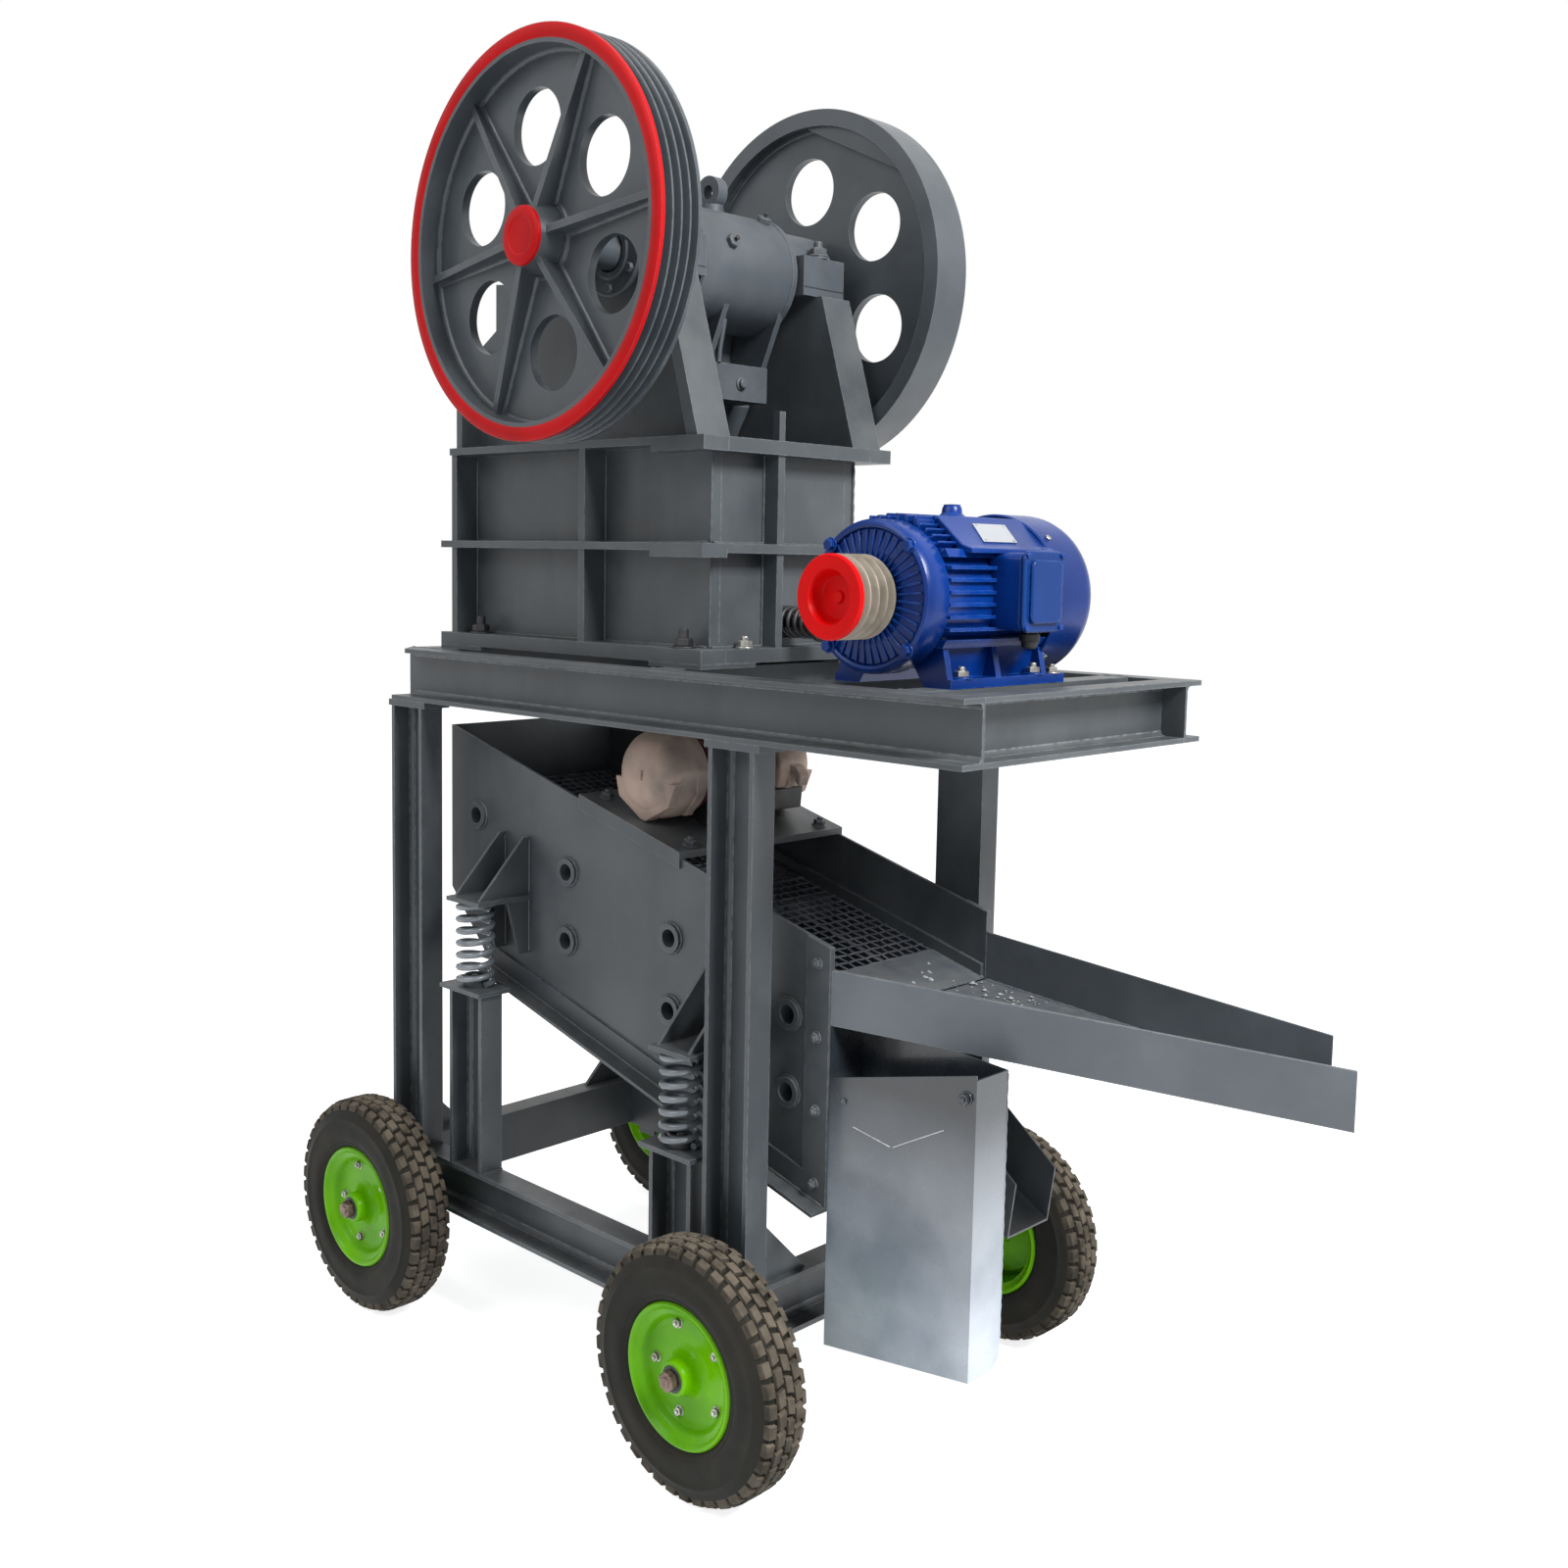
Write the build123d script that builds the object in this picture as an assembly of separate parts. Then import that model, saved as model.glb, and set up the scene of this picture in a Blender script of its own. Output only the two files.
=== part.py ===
from build123d import *
import os
from math import cos, radians, sin, tan

os.makedirs("parts", exist_ok=True)

# Millimetres, +Z up. Dimensions are laid out from the near left corner of the deck:
# X runs along the deck to the motor end, Y goes from the grooved flywheel side to the far side.

# Rolled channel used for the deck, the legs, the base and the spring posts
CHANNEL_DEPTH = 100.0
CHANNEL_FLANGE = 48.0
CHANNEL_WEB = 5.3
CHANNEL_FLANGE_THICK = 8.5

# Deck and base
DECK_LENGTH = 1387.0
FRAME_WIDTH = 632.0
DECK_TOP = 1280.0
DECK_CORNER_CUT = 46.0
BASE_LENGTH = 990.0
BASE_TOP = 304.0
CRUSHER_BEAM_X = (60.0, 700.0)
MOTOR_BEAM_INSET = (330.0, 156.0)
GUSSET_LEG = 105.0
GUSSET_THICK = 8.0
GUSSET_INSET = 12.0
LEG_CAP_THICK = 12.0
LEG_CAP_REACH = 10.0

# Spring posts and screen springs
LEFT_POST_X = 192.0
RIGHT_POST_X = 762.0
LEFT_SEAT_TOP = 655.0
RIGHT_SEAT_TOP = 497.0
SEAT_THICK = 8.0
SEAT_LENGTH = 124.0
SEAT_Y = (-14.0, 58.0)
SPRING_Y = 24.0
SPRING_LENGTH = 162.0
SPRING_RADIUS = 31.0
SPRING_WIRE = 9.0
SPRING_TURNS = 6.0
BRACKET_HALF = 50.0
BRACKET_THICK = 8.0
BRACKET_SHIFT = 10.0
BRACKET_GUSSETS = (-40.0, 34.0)
BRACKET_GUSSET_THICK = 6.0
BRACKET_RISE = 118.0
BRACKET_DROP = 105.0

# Wheels
WHEEL_RADIUS = 205.0
TYRE_WIDTH = 95.0
TYRE_GAP = 30.0
RIM_RADIUS = 115.0
WHEEL_LEFT_X = 50.0
WHEEL_RIGHT_INSET = 25.0
AXLE_RADIUS = 12.5
AXLE_PLATE = 50.0
AXLE_PLATE_THICK = 8.0
WHEEL_HUB_RADIUS = 30.0
WHEEL_HUB_PROUD = 6.0

# Crusher frame, with widths across the long middle plane
FLANGE_X = (50.0, 785.0)
FLANGE_SPREAD = 470.0
WALL_X = (95.0, 745.0)
WALL_SPREAD = 360.0
WALL_THICK = 25.0
THIN_FLANGE = 13.0
THICK_FLANGE = 24.0
THICK_FLANGE_X = 657.0
PAD_THICK = 8.0
PAD_LENGTH = 128.0
MID_FLANGE_TOP = 1488.0
TOP_FLANGE_TOP = 1663.0
RIB_THICK = 16.0
RIB_SET_BACK = 5.0
SIDE_RIB_X = (79.0, 462.0)
REAR_RIB_OFFSET = -46.0
REAR_STUB_THICK = 14.0
TOP_FLANGE_LEFT_X = 79.0
REAR_STUB_HEIGHT = 50.0
CHEEK_LEFT_TOP = 1850.0
CHEEK_STEP_X = 152.0
CHEEK_STEP_Z = 1884.0
CHEEK_PEAK_Z = 1970.0
CHEEK_BAR_THICK = 20.0
HOUSING_SEAT_Z = 1940.0

# Shaft, flywheels and swing jaw
SHAFT_X = 550.0
SHAFT_Z = 1976.0
SHAFT_RADIUS = 30.0
RUNNING_GAP = 0.1
ECCENTRIC_RADIUS = 48.0
ECCENTRIC_THROW = 6.0
FLYWHEEL_RADIUS = 328.0
FLYWHEEL_WIDTH = 82.0
DRIVE_OVERHANG = 334.0
PLAIN_OVERHANG = 240.0
RIM_INNER_RADIUS = 298.0
FLYWHEEL_HOLE_RADIUS = 62.0
FLYWHEEL_HOLE_CIRCLE = 185.0
DRIVE_HOLE_ANGLE = 37.0
PLAIN_HOLE_ANGLE = 33.0
FLYWHEEL_HUB_RADIUS = 47.0
FLYWHEEL_HUB_ROOT = 60.0
FLYWHEEL_WEB = 16.0
FLYWHEEL_WEB_DEPTH = 40.0
HUB_PROUD = 10.0
SPOKE_THICK = 12.0
SPOKE_DEPTH = (38.0, 16.0)
COUNTERWEIGHT_REACH = 268.0
COUNTERWEIGHT_ANGLE = 25.0
GROOVE_COUNT = 4
GROOVE_PITCH = 18.0
GROOVE_TOP = 7.5
GROOVE_ROOT = 3.5
GROOVE_DEPTH = 13.0
HOUSING_RADIUS = 92.0
HOUSING_HALF = 116.0
HOUSING_LUG = 34.0
HOUSING_WIDTH = 108.0
SIDE_GAP = 5.0
PITMAN_RADIUS = 105.0
PITMAN_WIDTH = 232.0
PITMAN_BORE = 57.0
PITMAN_CAP = 10.0
JAW_CLEARANCE = 7.0
JAW_TIP = (165.0, 1345.0)
JAW_HEEL = (235.0, 1325.0)
JAW_BACK = (430.0, 1620.0)
JAW_SHOULDER_Z = 1900.0
JAW_BEAM_X = (505.0, 590.0)
JAW_BEAM_Z = (1748.0, 1812.0)
JAW_RIB_THICK = 12.0
JAW_RIB_Y = 280.0
EYE_RADIUS = 29.0
EYE_HOLE = 12.5
EYE_THICK = 22.0
EYE_HEIGHT = 137.0
ROD_OFFSET = -4.0
ROD_Z = 1355.0
ROD_RADIUS = 10.0
ROD_HOLE_RADIUS = 14.0
ROD_INSIDE = 55.0
ROD_OUTSIDE = 135.0
TENSION_SPRING_LENGTH = 94.0

# Motor
MOTOR_INSET = 219.0
MOTOR_SHAFT_HEIGHT = 131.0
MOTOR_PULLEY_Y = -36.0
MOTOR_PULLEY_RADIUS = 62.0
MOTOR_PULLEY_WIDTH = 78.0
MOTOR_PULLEY_CUP = 44.0
MOTOR_BODY_Y = (50.0, 355.0)
MOTOR_FAN_Y = 452.0
MOTOR_FAN_RADIUS = 129.0
MOTOR_BODY_RADIUS = 108.0
MOTOR_SHIELD_RADIUS = 111.0
MOTOR_FIN_RADIUS = 123.0
MOTOR_SIDE_REACH = 113.0
MOTOR_FIN_THICK = 5.0
MOTOR_FIN_PITCH = 18.0
MOTOR_RAIL_Z = (-66.0, 66.0)
MOTOR_FOOT_Y = (108.0, 395.0)
MOTOR_FOOT_X = (62.0, 112.0)
MOTOR_FOOT_THICK = 14.0
MOTOR_SHAFT_RADIUS = 19.0
MOTOR_EYE_Y = 243.0
TERMINAL_BOX_X = (96.0, 172.0)
TERMINAL_BOX_Y = (208.0, 306.0)
TERMINAL_BOX_Z = (-48.0, 70.0)

# Vibrating screen
SCREEN_SLOPE = 14.7
SCREEN_LEFT_X = 41.0
SCREEN_RIGHT_X = 1060.0
SCREEN_TOP_Z = 1127.0
SCREEN_INSET = 112.0
SIDE_PLATE_THICK = 6.0
SIDE_PLATE_DEPTH = 427.0
SIDE_LEFT_BOTTOM = 803.0
SIDE_CUT_X = 174.0
SIDE_FLANGE = 38.0
SIDE_BAND = 45.0
SIDE_STRIP = 50.0
SIDE_BAND_THICK = 5.0
TUBE_X = (132.0, 408.0, 689.0, 972.0)
UPPER_TUBE_DROP = 146.0
TUBE_ROW_GAP = 128.0
TUBE_RADIUS = 25.0
TUBE_WALL = 9.0
TUBE_PROUD = 8.0
MESH_WIRE = 6.0
MESH_THICK = 6.0
MESH_PITCH = 66.0
UPPER_MESH_DROP = 62.0
LOWER_MESH_LEFT_X = 300.0
MESH_END_GAP = 4.0
STRINGER_THICK = 8.0
STRINGER_COUNT = 4
PAN_RISE = 12.0
PAN_THICK = 4.0
BRIDGE_X = (442.0, 711.0)
BRIDGE_HEIGHT = 12.0
BRIDGE_SHEET = 8.0
BRIDGE_SKIRT = 16.0
BRIDGE_SKIRT_THICK = 5.0
VIBRATOR_X = 585.0
VIBRATOR_RISE = 96.0
VIBRATOR_RADIUS = 80.0
VIBRATOR_BODY_RADIUS = 66.0
VIBRATOR_SPREAD = 372.0
VIBRATOR_FOOT = 75.0

# Discharge tray and chutes
TRAY_LENGTH = (724.0, 630.0)
TRAY_END_WIDTH = 122.0
TRAY_EDGE_DROP = 36.0
TRAY_WALL = 88.0
TRAY_THICK = 4.0
TRAY_SLOPE = 4.2
CHUTE_LENGTH = 286.0
CHUTE_WIDTH = 78.0
CHUTE_SHEET = 3.0
CHUTE_MOUTH_Z = (212.0, 254.0)
CHUTE_OPEN_Z = 650.0
FINES_WIDTH = 116.0
FINES_RISE = 97.0
FINES_INSET = 4.0
FINES_SHEET = 3.0
FINES_RUN = (146.0, 159.0, 50.0)
FINES_DROP = (0.0, 98.0, 182.0)

SPREAD = 2.0 * DECK_LENGTH
FRAME_CENTRE_Y = FRAME_WIDTH / 2
WHEEL_RIGHT_X = BASE_LENGTH - WHEEL_RIGHT_INSET
TRAY_END_X = (SCREEN_RIGHT_X + TRAY_LENGTH[0], SCREEN_RIGHT_X + TRAY_LENGTH[1])
ORIGIN_X = (WHEEL_LEFT_X - WHEEL_RADIUS + TRAY_END_X[0]) / 2
SLOPE = tan(radians(SCREEN_SLOPE))
DECK_BOTTOM = DECK_TOP - CHANNEL_DEPTH
BASE_MID = BASE_TOP - CHANNEL_DEPTH / 2
DECK_MID = DECK_TOP - CHANNEL_DEPTH / 2
WEB_NEAR_Y = CHANNEL_FLANGE
WEB_FAR_Y = FRAME_WIDTH - CHANNEL_FLANGE


def block(x0, x1, y0, y1, z0, z1):
    """A plate or bar given by its limits along the three axes."""
    return Pos((x0 + x1) / 2, (y0 + y1) / 2, (z0 + z1) / 2) * Box(x1 - x0, y1 - y0, z1 - z0)


def outline(points):
    """A flat face bounded by straight edges through the points."""
    return make_face(Polyline(*points, close=True))


def plate_xz(points, y0, y1):
    """A plate of the given X and Z outline between two Y values."""
    return extrude(Plane.XZ.offset(-y1) * outline(points), amount=y1 - y0)


def plate_yz(points, x0, x1):
    """A plate of the given Y and Z outline between two X values."""
    return extrude(Plane.YZ.offset(x0) * outline(points), amount=x1 - x0)


def channel(start, end, inward):
    """A rolled channel between two points on the middle line of its flange tips."""
    run = Vector(*end) - Vector(*start)
    along = run.normalized()
    across = Vector(*inward).cross(along)
    half = CHANNEL_DEPTH / 2
    root = CHANNEL_FLANGE - CHANNEL_WEB
    lip = half - CHANNEL_FLANGE_THICK
    section = outline([
        (-half, 0), (-half, CHANNEL_FLANGE), (half, CHANNEL_FLANGE), (half, 0),
        (lip, 0), (lip, root), (-lip, root), (-lip, 0),
    ])
    return extrude(Plane(origin=start, x_dir=across, z_dir=along) * section, amount=run.length)


def turned(points, x, z):
    """A solid turned about the Y-directed line at x and z from (radius, y) points."""
    profile = Pos(x, 0, z) * outline(points)
    return revolve(profile, Axis((x, 0, z), (0, 1, 0)))


def rod_y(x, z, radius, y0, y1):
    """A round bar along Y."""
    return turned([(0, y0), (radius, y0), (radius, y1), (0, y1)], x, z)


def mirrored(shape):
    """The same shape on the other side of the long middle plane."""
    return mirror(shape, about=Plane.XZ.offset(-FRAME_CENTRE_Y))


def joined(shapes):
    """All the shapes fused into one."""
    total = shapes[0]
    for shape in shapes[1:]:
        total = total + shape
    return total


def screen_top(x):
    """Height of the side plates' top edge at x."""
    return SCREEN_TOP_Z - SLOPE * (x - SCREEN_LEFT_X)


# Base
near_rail = channel((0, 0, BASE_MID), (BASE_LENGTH, 0, BASE_MID), (0, 1, 0))
base_long_rails = Compound([near_rail, mirrored(near_rail)])

left_rail = channel((0, WEB_NEAR_Y, BASE_MID), (0, WEB_FAR_Y, BASE_MID), (1, 0, 0))
right_rail = channel((BASE_LENGTH, WEB_NEAR_Y, BASE_MID), (BASE_LENGTH, WEB_FAR_Y, BASE_MID), (-1, 0, 0))
base_cross_rails = Compound([left_rail, right_rail])

half_depth = CHANNEL_DEPTH / 2


def leg_at(x):
    """A near side leg with the cap plate that meets the deck."""
    post = channel((x, 0, BASE_TOP), (x, 0, DECK_BOTTOM - LEG_CAP_THICK), (0, 1, 0))
    reach = half_depth + LEG_CAP_REACH
    cap = block(x - reach, x + reach, 0, WEB_NEAR_Y + LEG_CAP_REACH, DECK_BOTTOM - LEG_CAP_THICK, DECK_BOTTOM)
    return post + cap


near_legs = [leg_at(half_depth), leg_at(BASE_LENGTH - half_depth)]
legs = Compound(near_legs + [mirrored(leg) for leg in near_legs])

gusset_outline = [
    (WEB_NEAR_Y, BASE_TOP), (WEB_NEAR_Y + GUSSET_LEG, BASE_TOP), (WEB_NEAR_Y, BASE_TOP + GUSSET_LEG),
]
gusset_x = (GUSSET_INSET, BASE_LENGTH - GUSSET_THICK - GUSSET_INSET)
left_gusset, right_gusset = [plate_yz(gusset_outline, x, x + GUSSET_THICK) for x in gusset_x]
leg_gussets = Compound([right_gusset, left_gusset, mirrored(right_gusset), mirrored(left_gusset)])


def spring_post(x, seat_top):
    """A channel post on the base rail with the flat seat of one spring."""
    middle = x + half_depth
    post = channel((middle, 0, BASE_TOP), (middle, 0, seat_top - SEAT_THICK), (0, 1, 0))
    seat = block(middle - SEAT_LENGTH / 2, middle + SEAT_LENGTH / 2, *SEAT_Y, seat_top - SEAT_THICK, seat_top)
    return post + seat


near_posts = [spring_post(LEFT_POST_X, LEFT_SEAT_TOP), spring_post(RIGHT_POST_X, RIGHT_SEAT_TOP)]
spring_posts = Compound(near_posts + [mirrored(post) for post in near_posts])

TYRE_OUTER_Y = -TYRE_GAP - TYRE_WIDTH


def axle_stub(x):
    """A wheel pin on the plate that closes the rail's open side."""
    plate = block(x - AXLE_PLATE / 2, x + AXLE_PLATE / 2, -AXLE_PLATE_THICK, 0, WHEEL_RADIUS - 40, BASE_TOP)
    shoulder = rod_y(x, WHEEL_RADIUS, 20, -TYRE_GAP + 12, -AXLE_PLATE_THICK)
    pin = rod_y(x, WHEEL_RADIUS, AXLE_RADIUS, TYRE_OUTER_Y + 8, -TYRE_GAP + 12)
    return joined([plate, shoulder, pin])


near_stubs = [axle_stub(WHEEL_LEFT_X), axle_stub(WHEEL_RIGHT_X)]
axle_stubs = Compound(near_stubs + [mirrored(stub) for stub in near_stubs])

# Deck
near_beam = channel((0, 0, DECK_MID), (DECK_LENGTH, 0, DECK_MID), (0, 1, 0))
corner = extrude(
    Plane.XY.offset(DECK_TOP - CHANNEL_FLANGE_THICK)
    * outline([(0, 0), (DECK_CORNER_CUT, 0), (0, WEB_NEAR_Y - CHANNEL_WEB)]),
    amount=CHANNEL_FLANGE_THICK,
)
near_beam = near_beam - corner
deck_long_beams = Compound([near_beam, mirrored(near_beam)])

left_beam = channel((0, WEB_NEAR_Y, DECK_MID), (0, WEB_FAR_Y, DECK_MID), (1, 0, 0))
right_beam = channel((DECK_LENGTH, WEB_NEAR_Y, DECK_MID), (DECK_LENGTH, WEB_FAR_Y, DECK_MID), (-1, 0, 0))
beam_x = [*CRUSHER_BEAM_X, *[DECK_LENGTH - inset for inset in MOTOR_BEAM_INSET]]
inner_beams = [channel((x, WEB_NEAR_Y, DECK_MID), (x, WEB_FAR_Y, DECK_MID), (1, 0, 0)) for x in beam_x]
deck_cross_beams = Compound([left_beam, *inner_beams, right_beam])

# Crusher frame
flange_y = FRAME_CENTRE_Y - FLANGE_SPREAD / 2
wall_y = FRAME_CENTRE_Y - WALL_SPREAD / 2
root_y = wall_y + 2
pad_top = DECK_TOP + PAD_THICK
pads = [block(x0, x1, flange_y, flange_y + PAD_LENGTH, DECK_TOP, pad_top)
        for x0, x1 in ((FLANGE_X[0], FLANGE_X[0] + PAD_LENGTH), (FLANGE_X[1] - PAD_LENGTH, FLANGE_X[1]))]
crusher_pads = Compound(pads + [mirrored(pad) for pad in pads])

housing_right = SHAFT_X + HOUSING_HALF
cheek_outline = [
    (WALL_X[0], pad_top), (WALL_X[1], pad_top), (WALL_X[1], TOP_FLANGE_TOP), (housing_right, HOUSING_SEAT_Z),
    (SHAFT_X - HOUSING_HALF, HOUSING_SEAT_Z), (CHEEK_STEP_X, CHEEK_PEAK_Z), (CHEEK_STEP_X, CHEEK_STEP_Z),
    (WALL_X[0], CHEEK_LEFT_TOP),
]
side_wall = plate_xz(cheek_outline, wall_y, wall_y + WALL_THICK)


def flange_under(top, x0, x1, y0, y1, thick):
    """A flat flange strip whose upper face is at the given height."""
    return block(x0, x1, y0, y1, top - thick, top)


flange_tops = [pad_top + THICK_FLANGE, MID_FLANGE_TOP, TOP_FLANGE_TOP]
rear_thick = [THICK_FLANGE, RIB_THICK, THICK_FLANGE]
flange_left_x = [FLANGE_X[0], FLANGE_X[0], TOP_FLANGE_LEFT_X]
long_thick = [THICK_FLANGE, THIN_FLANGE, THIN_FLANGE]
side_flanges = [flange_under(top, left, THICK_FLANGE_X, flange_y, root_y, thick)
                for top, left, thick in zip(flange_tops, flange_left_x, long_thick)]
side_flanges += [flange_under(top, THICK_FLANGE_X - 1, FLANGE_X[1], flange_y, root_y, THICK_FLANGE)
                 for top in flange_tops]
side_ribs = [block(x, x + RIB_THICK, flange_y + RIB_SET_BACK, root_y, pad_top + 2, TOP_FLANGE_TOP - 2)
             for x in SIDE_RIB_X]
left_end_rib = block(WALL_X[0], WALL_X[0] + RIB_THICK, flange_y + RIB_SET_BACK, root_y,
                     TOP_FLANGE_TOP - 2, CHEEK_LEFT_TOP)
bar_outline = [
    (WALL_X[1] - 6, TOP_FLANGE_TOP - 2), (WALL_X[1] + CHEEK_BAR_THICK, TOP_FLANGE_TOP - 2),
    (housing_right + CHEEK_BAR_THICK - 6, HOUSING_SEAT_Z), (housing_right - 6, HOUSING_SEAT_Z),
]
cheek_bar = plate_xz(bar_outline, flange_y + RIB_SET_BACK, wall_y + WALL_THICK)
cheek_bar = cheek_bar - block(WALL_X[1], FLANGE_X[1], root_y, FRAME_CENTRE_Y, 0, TOP_FLANGE_TOP)
near_side_wall = joined([side_wall, *side_flanges, *side_ribs, left_end_rib, cheek_bar])
far_side_wall = mirrored(near_side_wall)

inner_y = (wall_y + WALL_THICK, FRAME_WIDTH - wall_y - WALL_THICK)
end_flange_y = (root_y, FRAME_WIDTH - root_y)
front_plate = block(WALL_X[0], WALL_X[0] + WALL_THICK, *inner_y, pad_top, CHEEK_LEFT_TOP)
front_flanges = [flange_under(top, left, WALL_X[0], *end_flange_y, thick)
                 for top, left, thick in zip(flange_tops, flange_left_x, long_thick)]
front_wall = joined([front_plate, *front_flanges])

rear_plate = block(WALL_X[1] - WALL_THICK, WALL_X[1], *inner_y, pad_top, TOP_FLANGE_TOP)
rear_flanges = [flange_under(top, WALL_X[1], FLANGE_X[1], *end_flange_y, thick)
                for top, thick in zip(flange_tops, rear_thick)]
rear_rib_y = FRAME_CENTRE_Y + REAR_RIB_OFFSET
rear_rib_x = FLANGE_X[1] - RIB_SET_BACK
rear_rib = block(WALL_X[1], rear_rib_x, rear_rib_y - RIB_THICK / 2, rear_rib_y + RIB_THICK / 2,
                 pad_top, TOP_FLANGE_TOP)
rear_stub = block(rear_rib_x - REAR_STUB_THICK, rear_rib_x, rear_rib_y - REAR_STUB_THICK / 2,
                  rear_rib_y + REAR_STUB_THICK / 2, TOP_FLANGE_TOP - 2, TOP_FLANGE_TOP + REAR_STUB_HEIGHT)
rod_y_centre = FRAME_CENTRE_Y + ROD_OFFSET
rod_place = Pos(WALL_X[1], rod_y_centre, ROD_Z) * Rot(0, 90, 0)
rear_wall = joined([rear_plate, *rear_flanges, rear_rib, rear_stub])
rear_wall = rear_wall - rod_place * Cylinder(ROD_HOLE_RADIUS, 3 * WALL_THICK)

pitman_y = (FRAME_CENTRE_Y - PITMAN_WIDTH / 2, FRAME_CENTRE_Y + PITMAN_WIDTH / 2)
housing_y = (pitman_y[0] - SIDE_GAP - HOUSING_WIDTH, pitman_y[0] - SIDE_GAP)
housing_block = block(SHAFT_X - HOUSING_HALF, housing_right, *housing_y,
                      HOUSING_SEAT_Z, SHAFT_Z + HOUSING_LUG)
housing = housing_block + rod_y(SHAFT_X, SHAFT_Z, HOUSING_RADIUS, *housing_y)
housing = housing - block(SHAFT_X - SPREAD, SHAFT_X + SPREAD, 0, FRAME_WIDTH, 0, HOUSING_SEAT_Z)
housing = housing - rod_y(SHAFT_X, SHAFT_Z, SHAFT_RADIUS + RUNNING_GAP, housing_y[0] - 1, housing_y[1] + 1)
bearing_housings = Compound([housing, mirrored(housing)])

# Shaft and flywheels
drive_back = FRAME_CENTRE_Y - DRIVE_OVERHANG
drive_front = drive_back - FLYWHEEL_WIDTH
plain_front = FRAME_CENTRE_Y + PLAIN_OVERHANG
plain_back = plain_front + FLYWHEEL_WIDTH
eccentric = rod_y(SHAFT_X + ECCENTRIC_THROW, SHAFT_Z, ECCENTRIC_RADIUS,
                  pitman_y[0] + PITMAN_CAP + 4, pitman_y[1] - PITMAN_CAP - 4)
eccentric_shaft = eccentric + rod_y(SHAFT_X, SHAFT_Z, SHAFT_RADIUS, drive_front - HUB_PROUD + 4,
                                    plain_back + HUB_PROUD - 4)


def web_holes(y0, y1, start_angle):
    """The six round openings of a flywheel web."""
    angles = [radians(start_angle + 60 * i) for i in range(6)]
    return [rod_y(SHAFT_X + FLYWHEEL_HOLE_CIRCLE * cos(angle), SHAFT_Z + FLYWHEEL_HOLE_CIRCLE * sin(angle),
                  FLYWHEEL_HOLE_RADIUS, y0, y1) for angle in angles]


def grooves(front, width, radius):
    """Rim outline points of the V grooves, from the front face to the back."""
    points = []
    for i in range(GROOVE_COUNT):
        y = front + width / 2 + (i - (GROOVE_COUNT - 1) / 2) * GROOVE_PITCH
        points += [(radius, y - GROOVE_TOP), (radius - GROOVE_DEPTH, y - GROOVE_ROOT)]
        points += [(radius - GROOVE_DEPTH, y + GROOVE_ROOT), (radius, y + GROOVE_TOP)]
    return points


def wheel_profile(rim_points, outer, web, inner):
    """Half section of a flywheel from its outer face over the web to its inner face."""
    toward = 1 if inner > outer else -1
    web_back = web + toward * FLYWHEEL_WEB
    hub_face = outer - toward * HUB_PROUD
    return [
        (SHAFT_RADIUS, hub_face), (FLYWHEEL_HUB_RADIUS, hub_face), (FLYWHEEL_HUB_ROOT, web),
        (RIM_INNER_RADIUS, web), (RIM_INNER_RADIUS, outer), (FLYWHEEL_RADIUS, outer), *rim_points,
        (FLYWHEEL_RADIUS, inner), (RIM_INNER_RADIUS, inner), (RIM_INNER_RADIUS, web_back),
        (FLYWHEEL_HUB_ROOT, web_back), (FLYWHEEL_HUB_ROOT, inner), (SHAFT_RADIUS, inner),
    ]


drive_web = drive_front + FLYWHEEL_WEB_DEPTH
drive_rim = grooves(drive_front, FLYWHEEL_WIDTH, FLYWHEEL_RADIUS)
grooved_flywheel = turned(wheel_profile(drive_rim, drive_front, drive_web, drive_back), SHAFT_X, SHAFT_Z)
for hole in web_holes(drive_web - 1, drive_web + FLYWHEEL_WEB + 1, DRIVE_HOLE_ANGLE):
    grooved_flywheel = grooved_flywheel - hole
spoke_outline = outline([
    (FLYWHEEL_HUB_RADIUS, drive_web + 1), (RIM_INNER_RADIUS + 2, drive_web + 1),
    (RIM_INNER_RADIUS + 2, drive_web - SPOKE_DEPTH[1]), (FLYWHEEL_HUB_RADIUS, drive_web - SPOKE_DEPTH[0]),
])
spoke = Pos(SHAFT_X, 0, SHAFT_Z - SPOKE_THICK / 2) * extrude(spoke_outline, amount=SPOKE_THICK)
shaft_axis = Axis((SHAFT_X, 0, SHAFT_Z), (0, -1, 0))
for i in range(6):
    grooved_flywheel = grooved_flywheel + spoke.rotate(shaft_axis, DRIVE_HOLE_ANGLE - 30 + 60 * i)

plain_web = plain_back - FLYWHEEL_WEB_DEPTH
plain_flywheel = turned(wheel_profile([], plain_back, plain_web, plain_front), SHAFT_X, SHAFT_Z)
for hole in web_holes(plain_web - FLYWHEEL_WEB - 1, plain_web + 1, PLAIN_HOLE_ANGLE):
    plain_flywheel = plain_flywheel - hole
weight_disc = rod_y(SHAFT_X, SHAFT_Z, RIM_INNER_RADIUS + 1, plain_front + 8, plain_web - FLYWHEEL_WEB + 1)
weight_keep = block(SHAFT_X - SPREAD, SHAFT_X + SPREAD, plain_front, plain_back,
                    SHAFT_Z + COUNTERWEIGHT_REACH, SHAFT_Z + FLYWHEEL_RADIUS)
plain_flywheel = plain_flywheel + (weight_disc & weight_keep).rotate(shaft_axis, -COUNTERWEIGHT_ANGLE)

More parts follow.
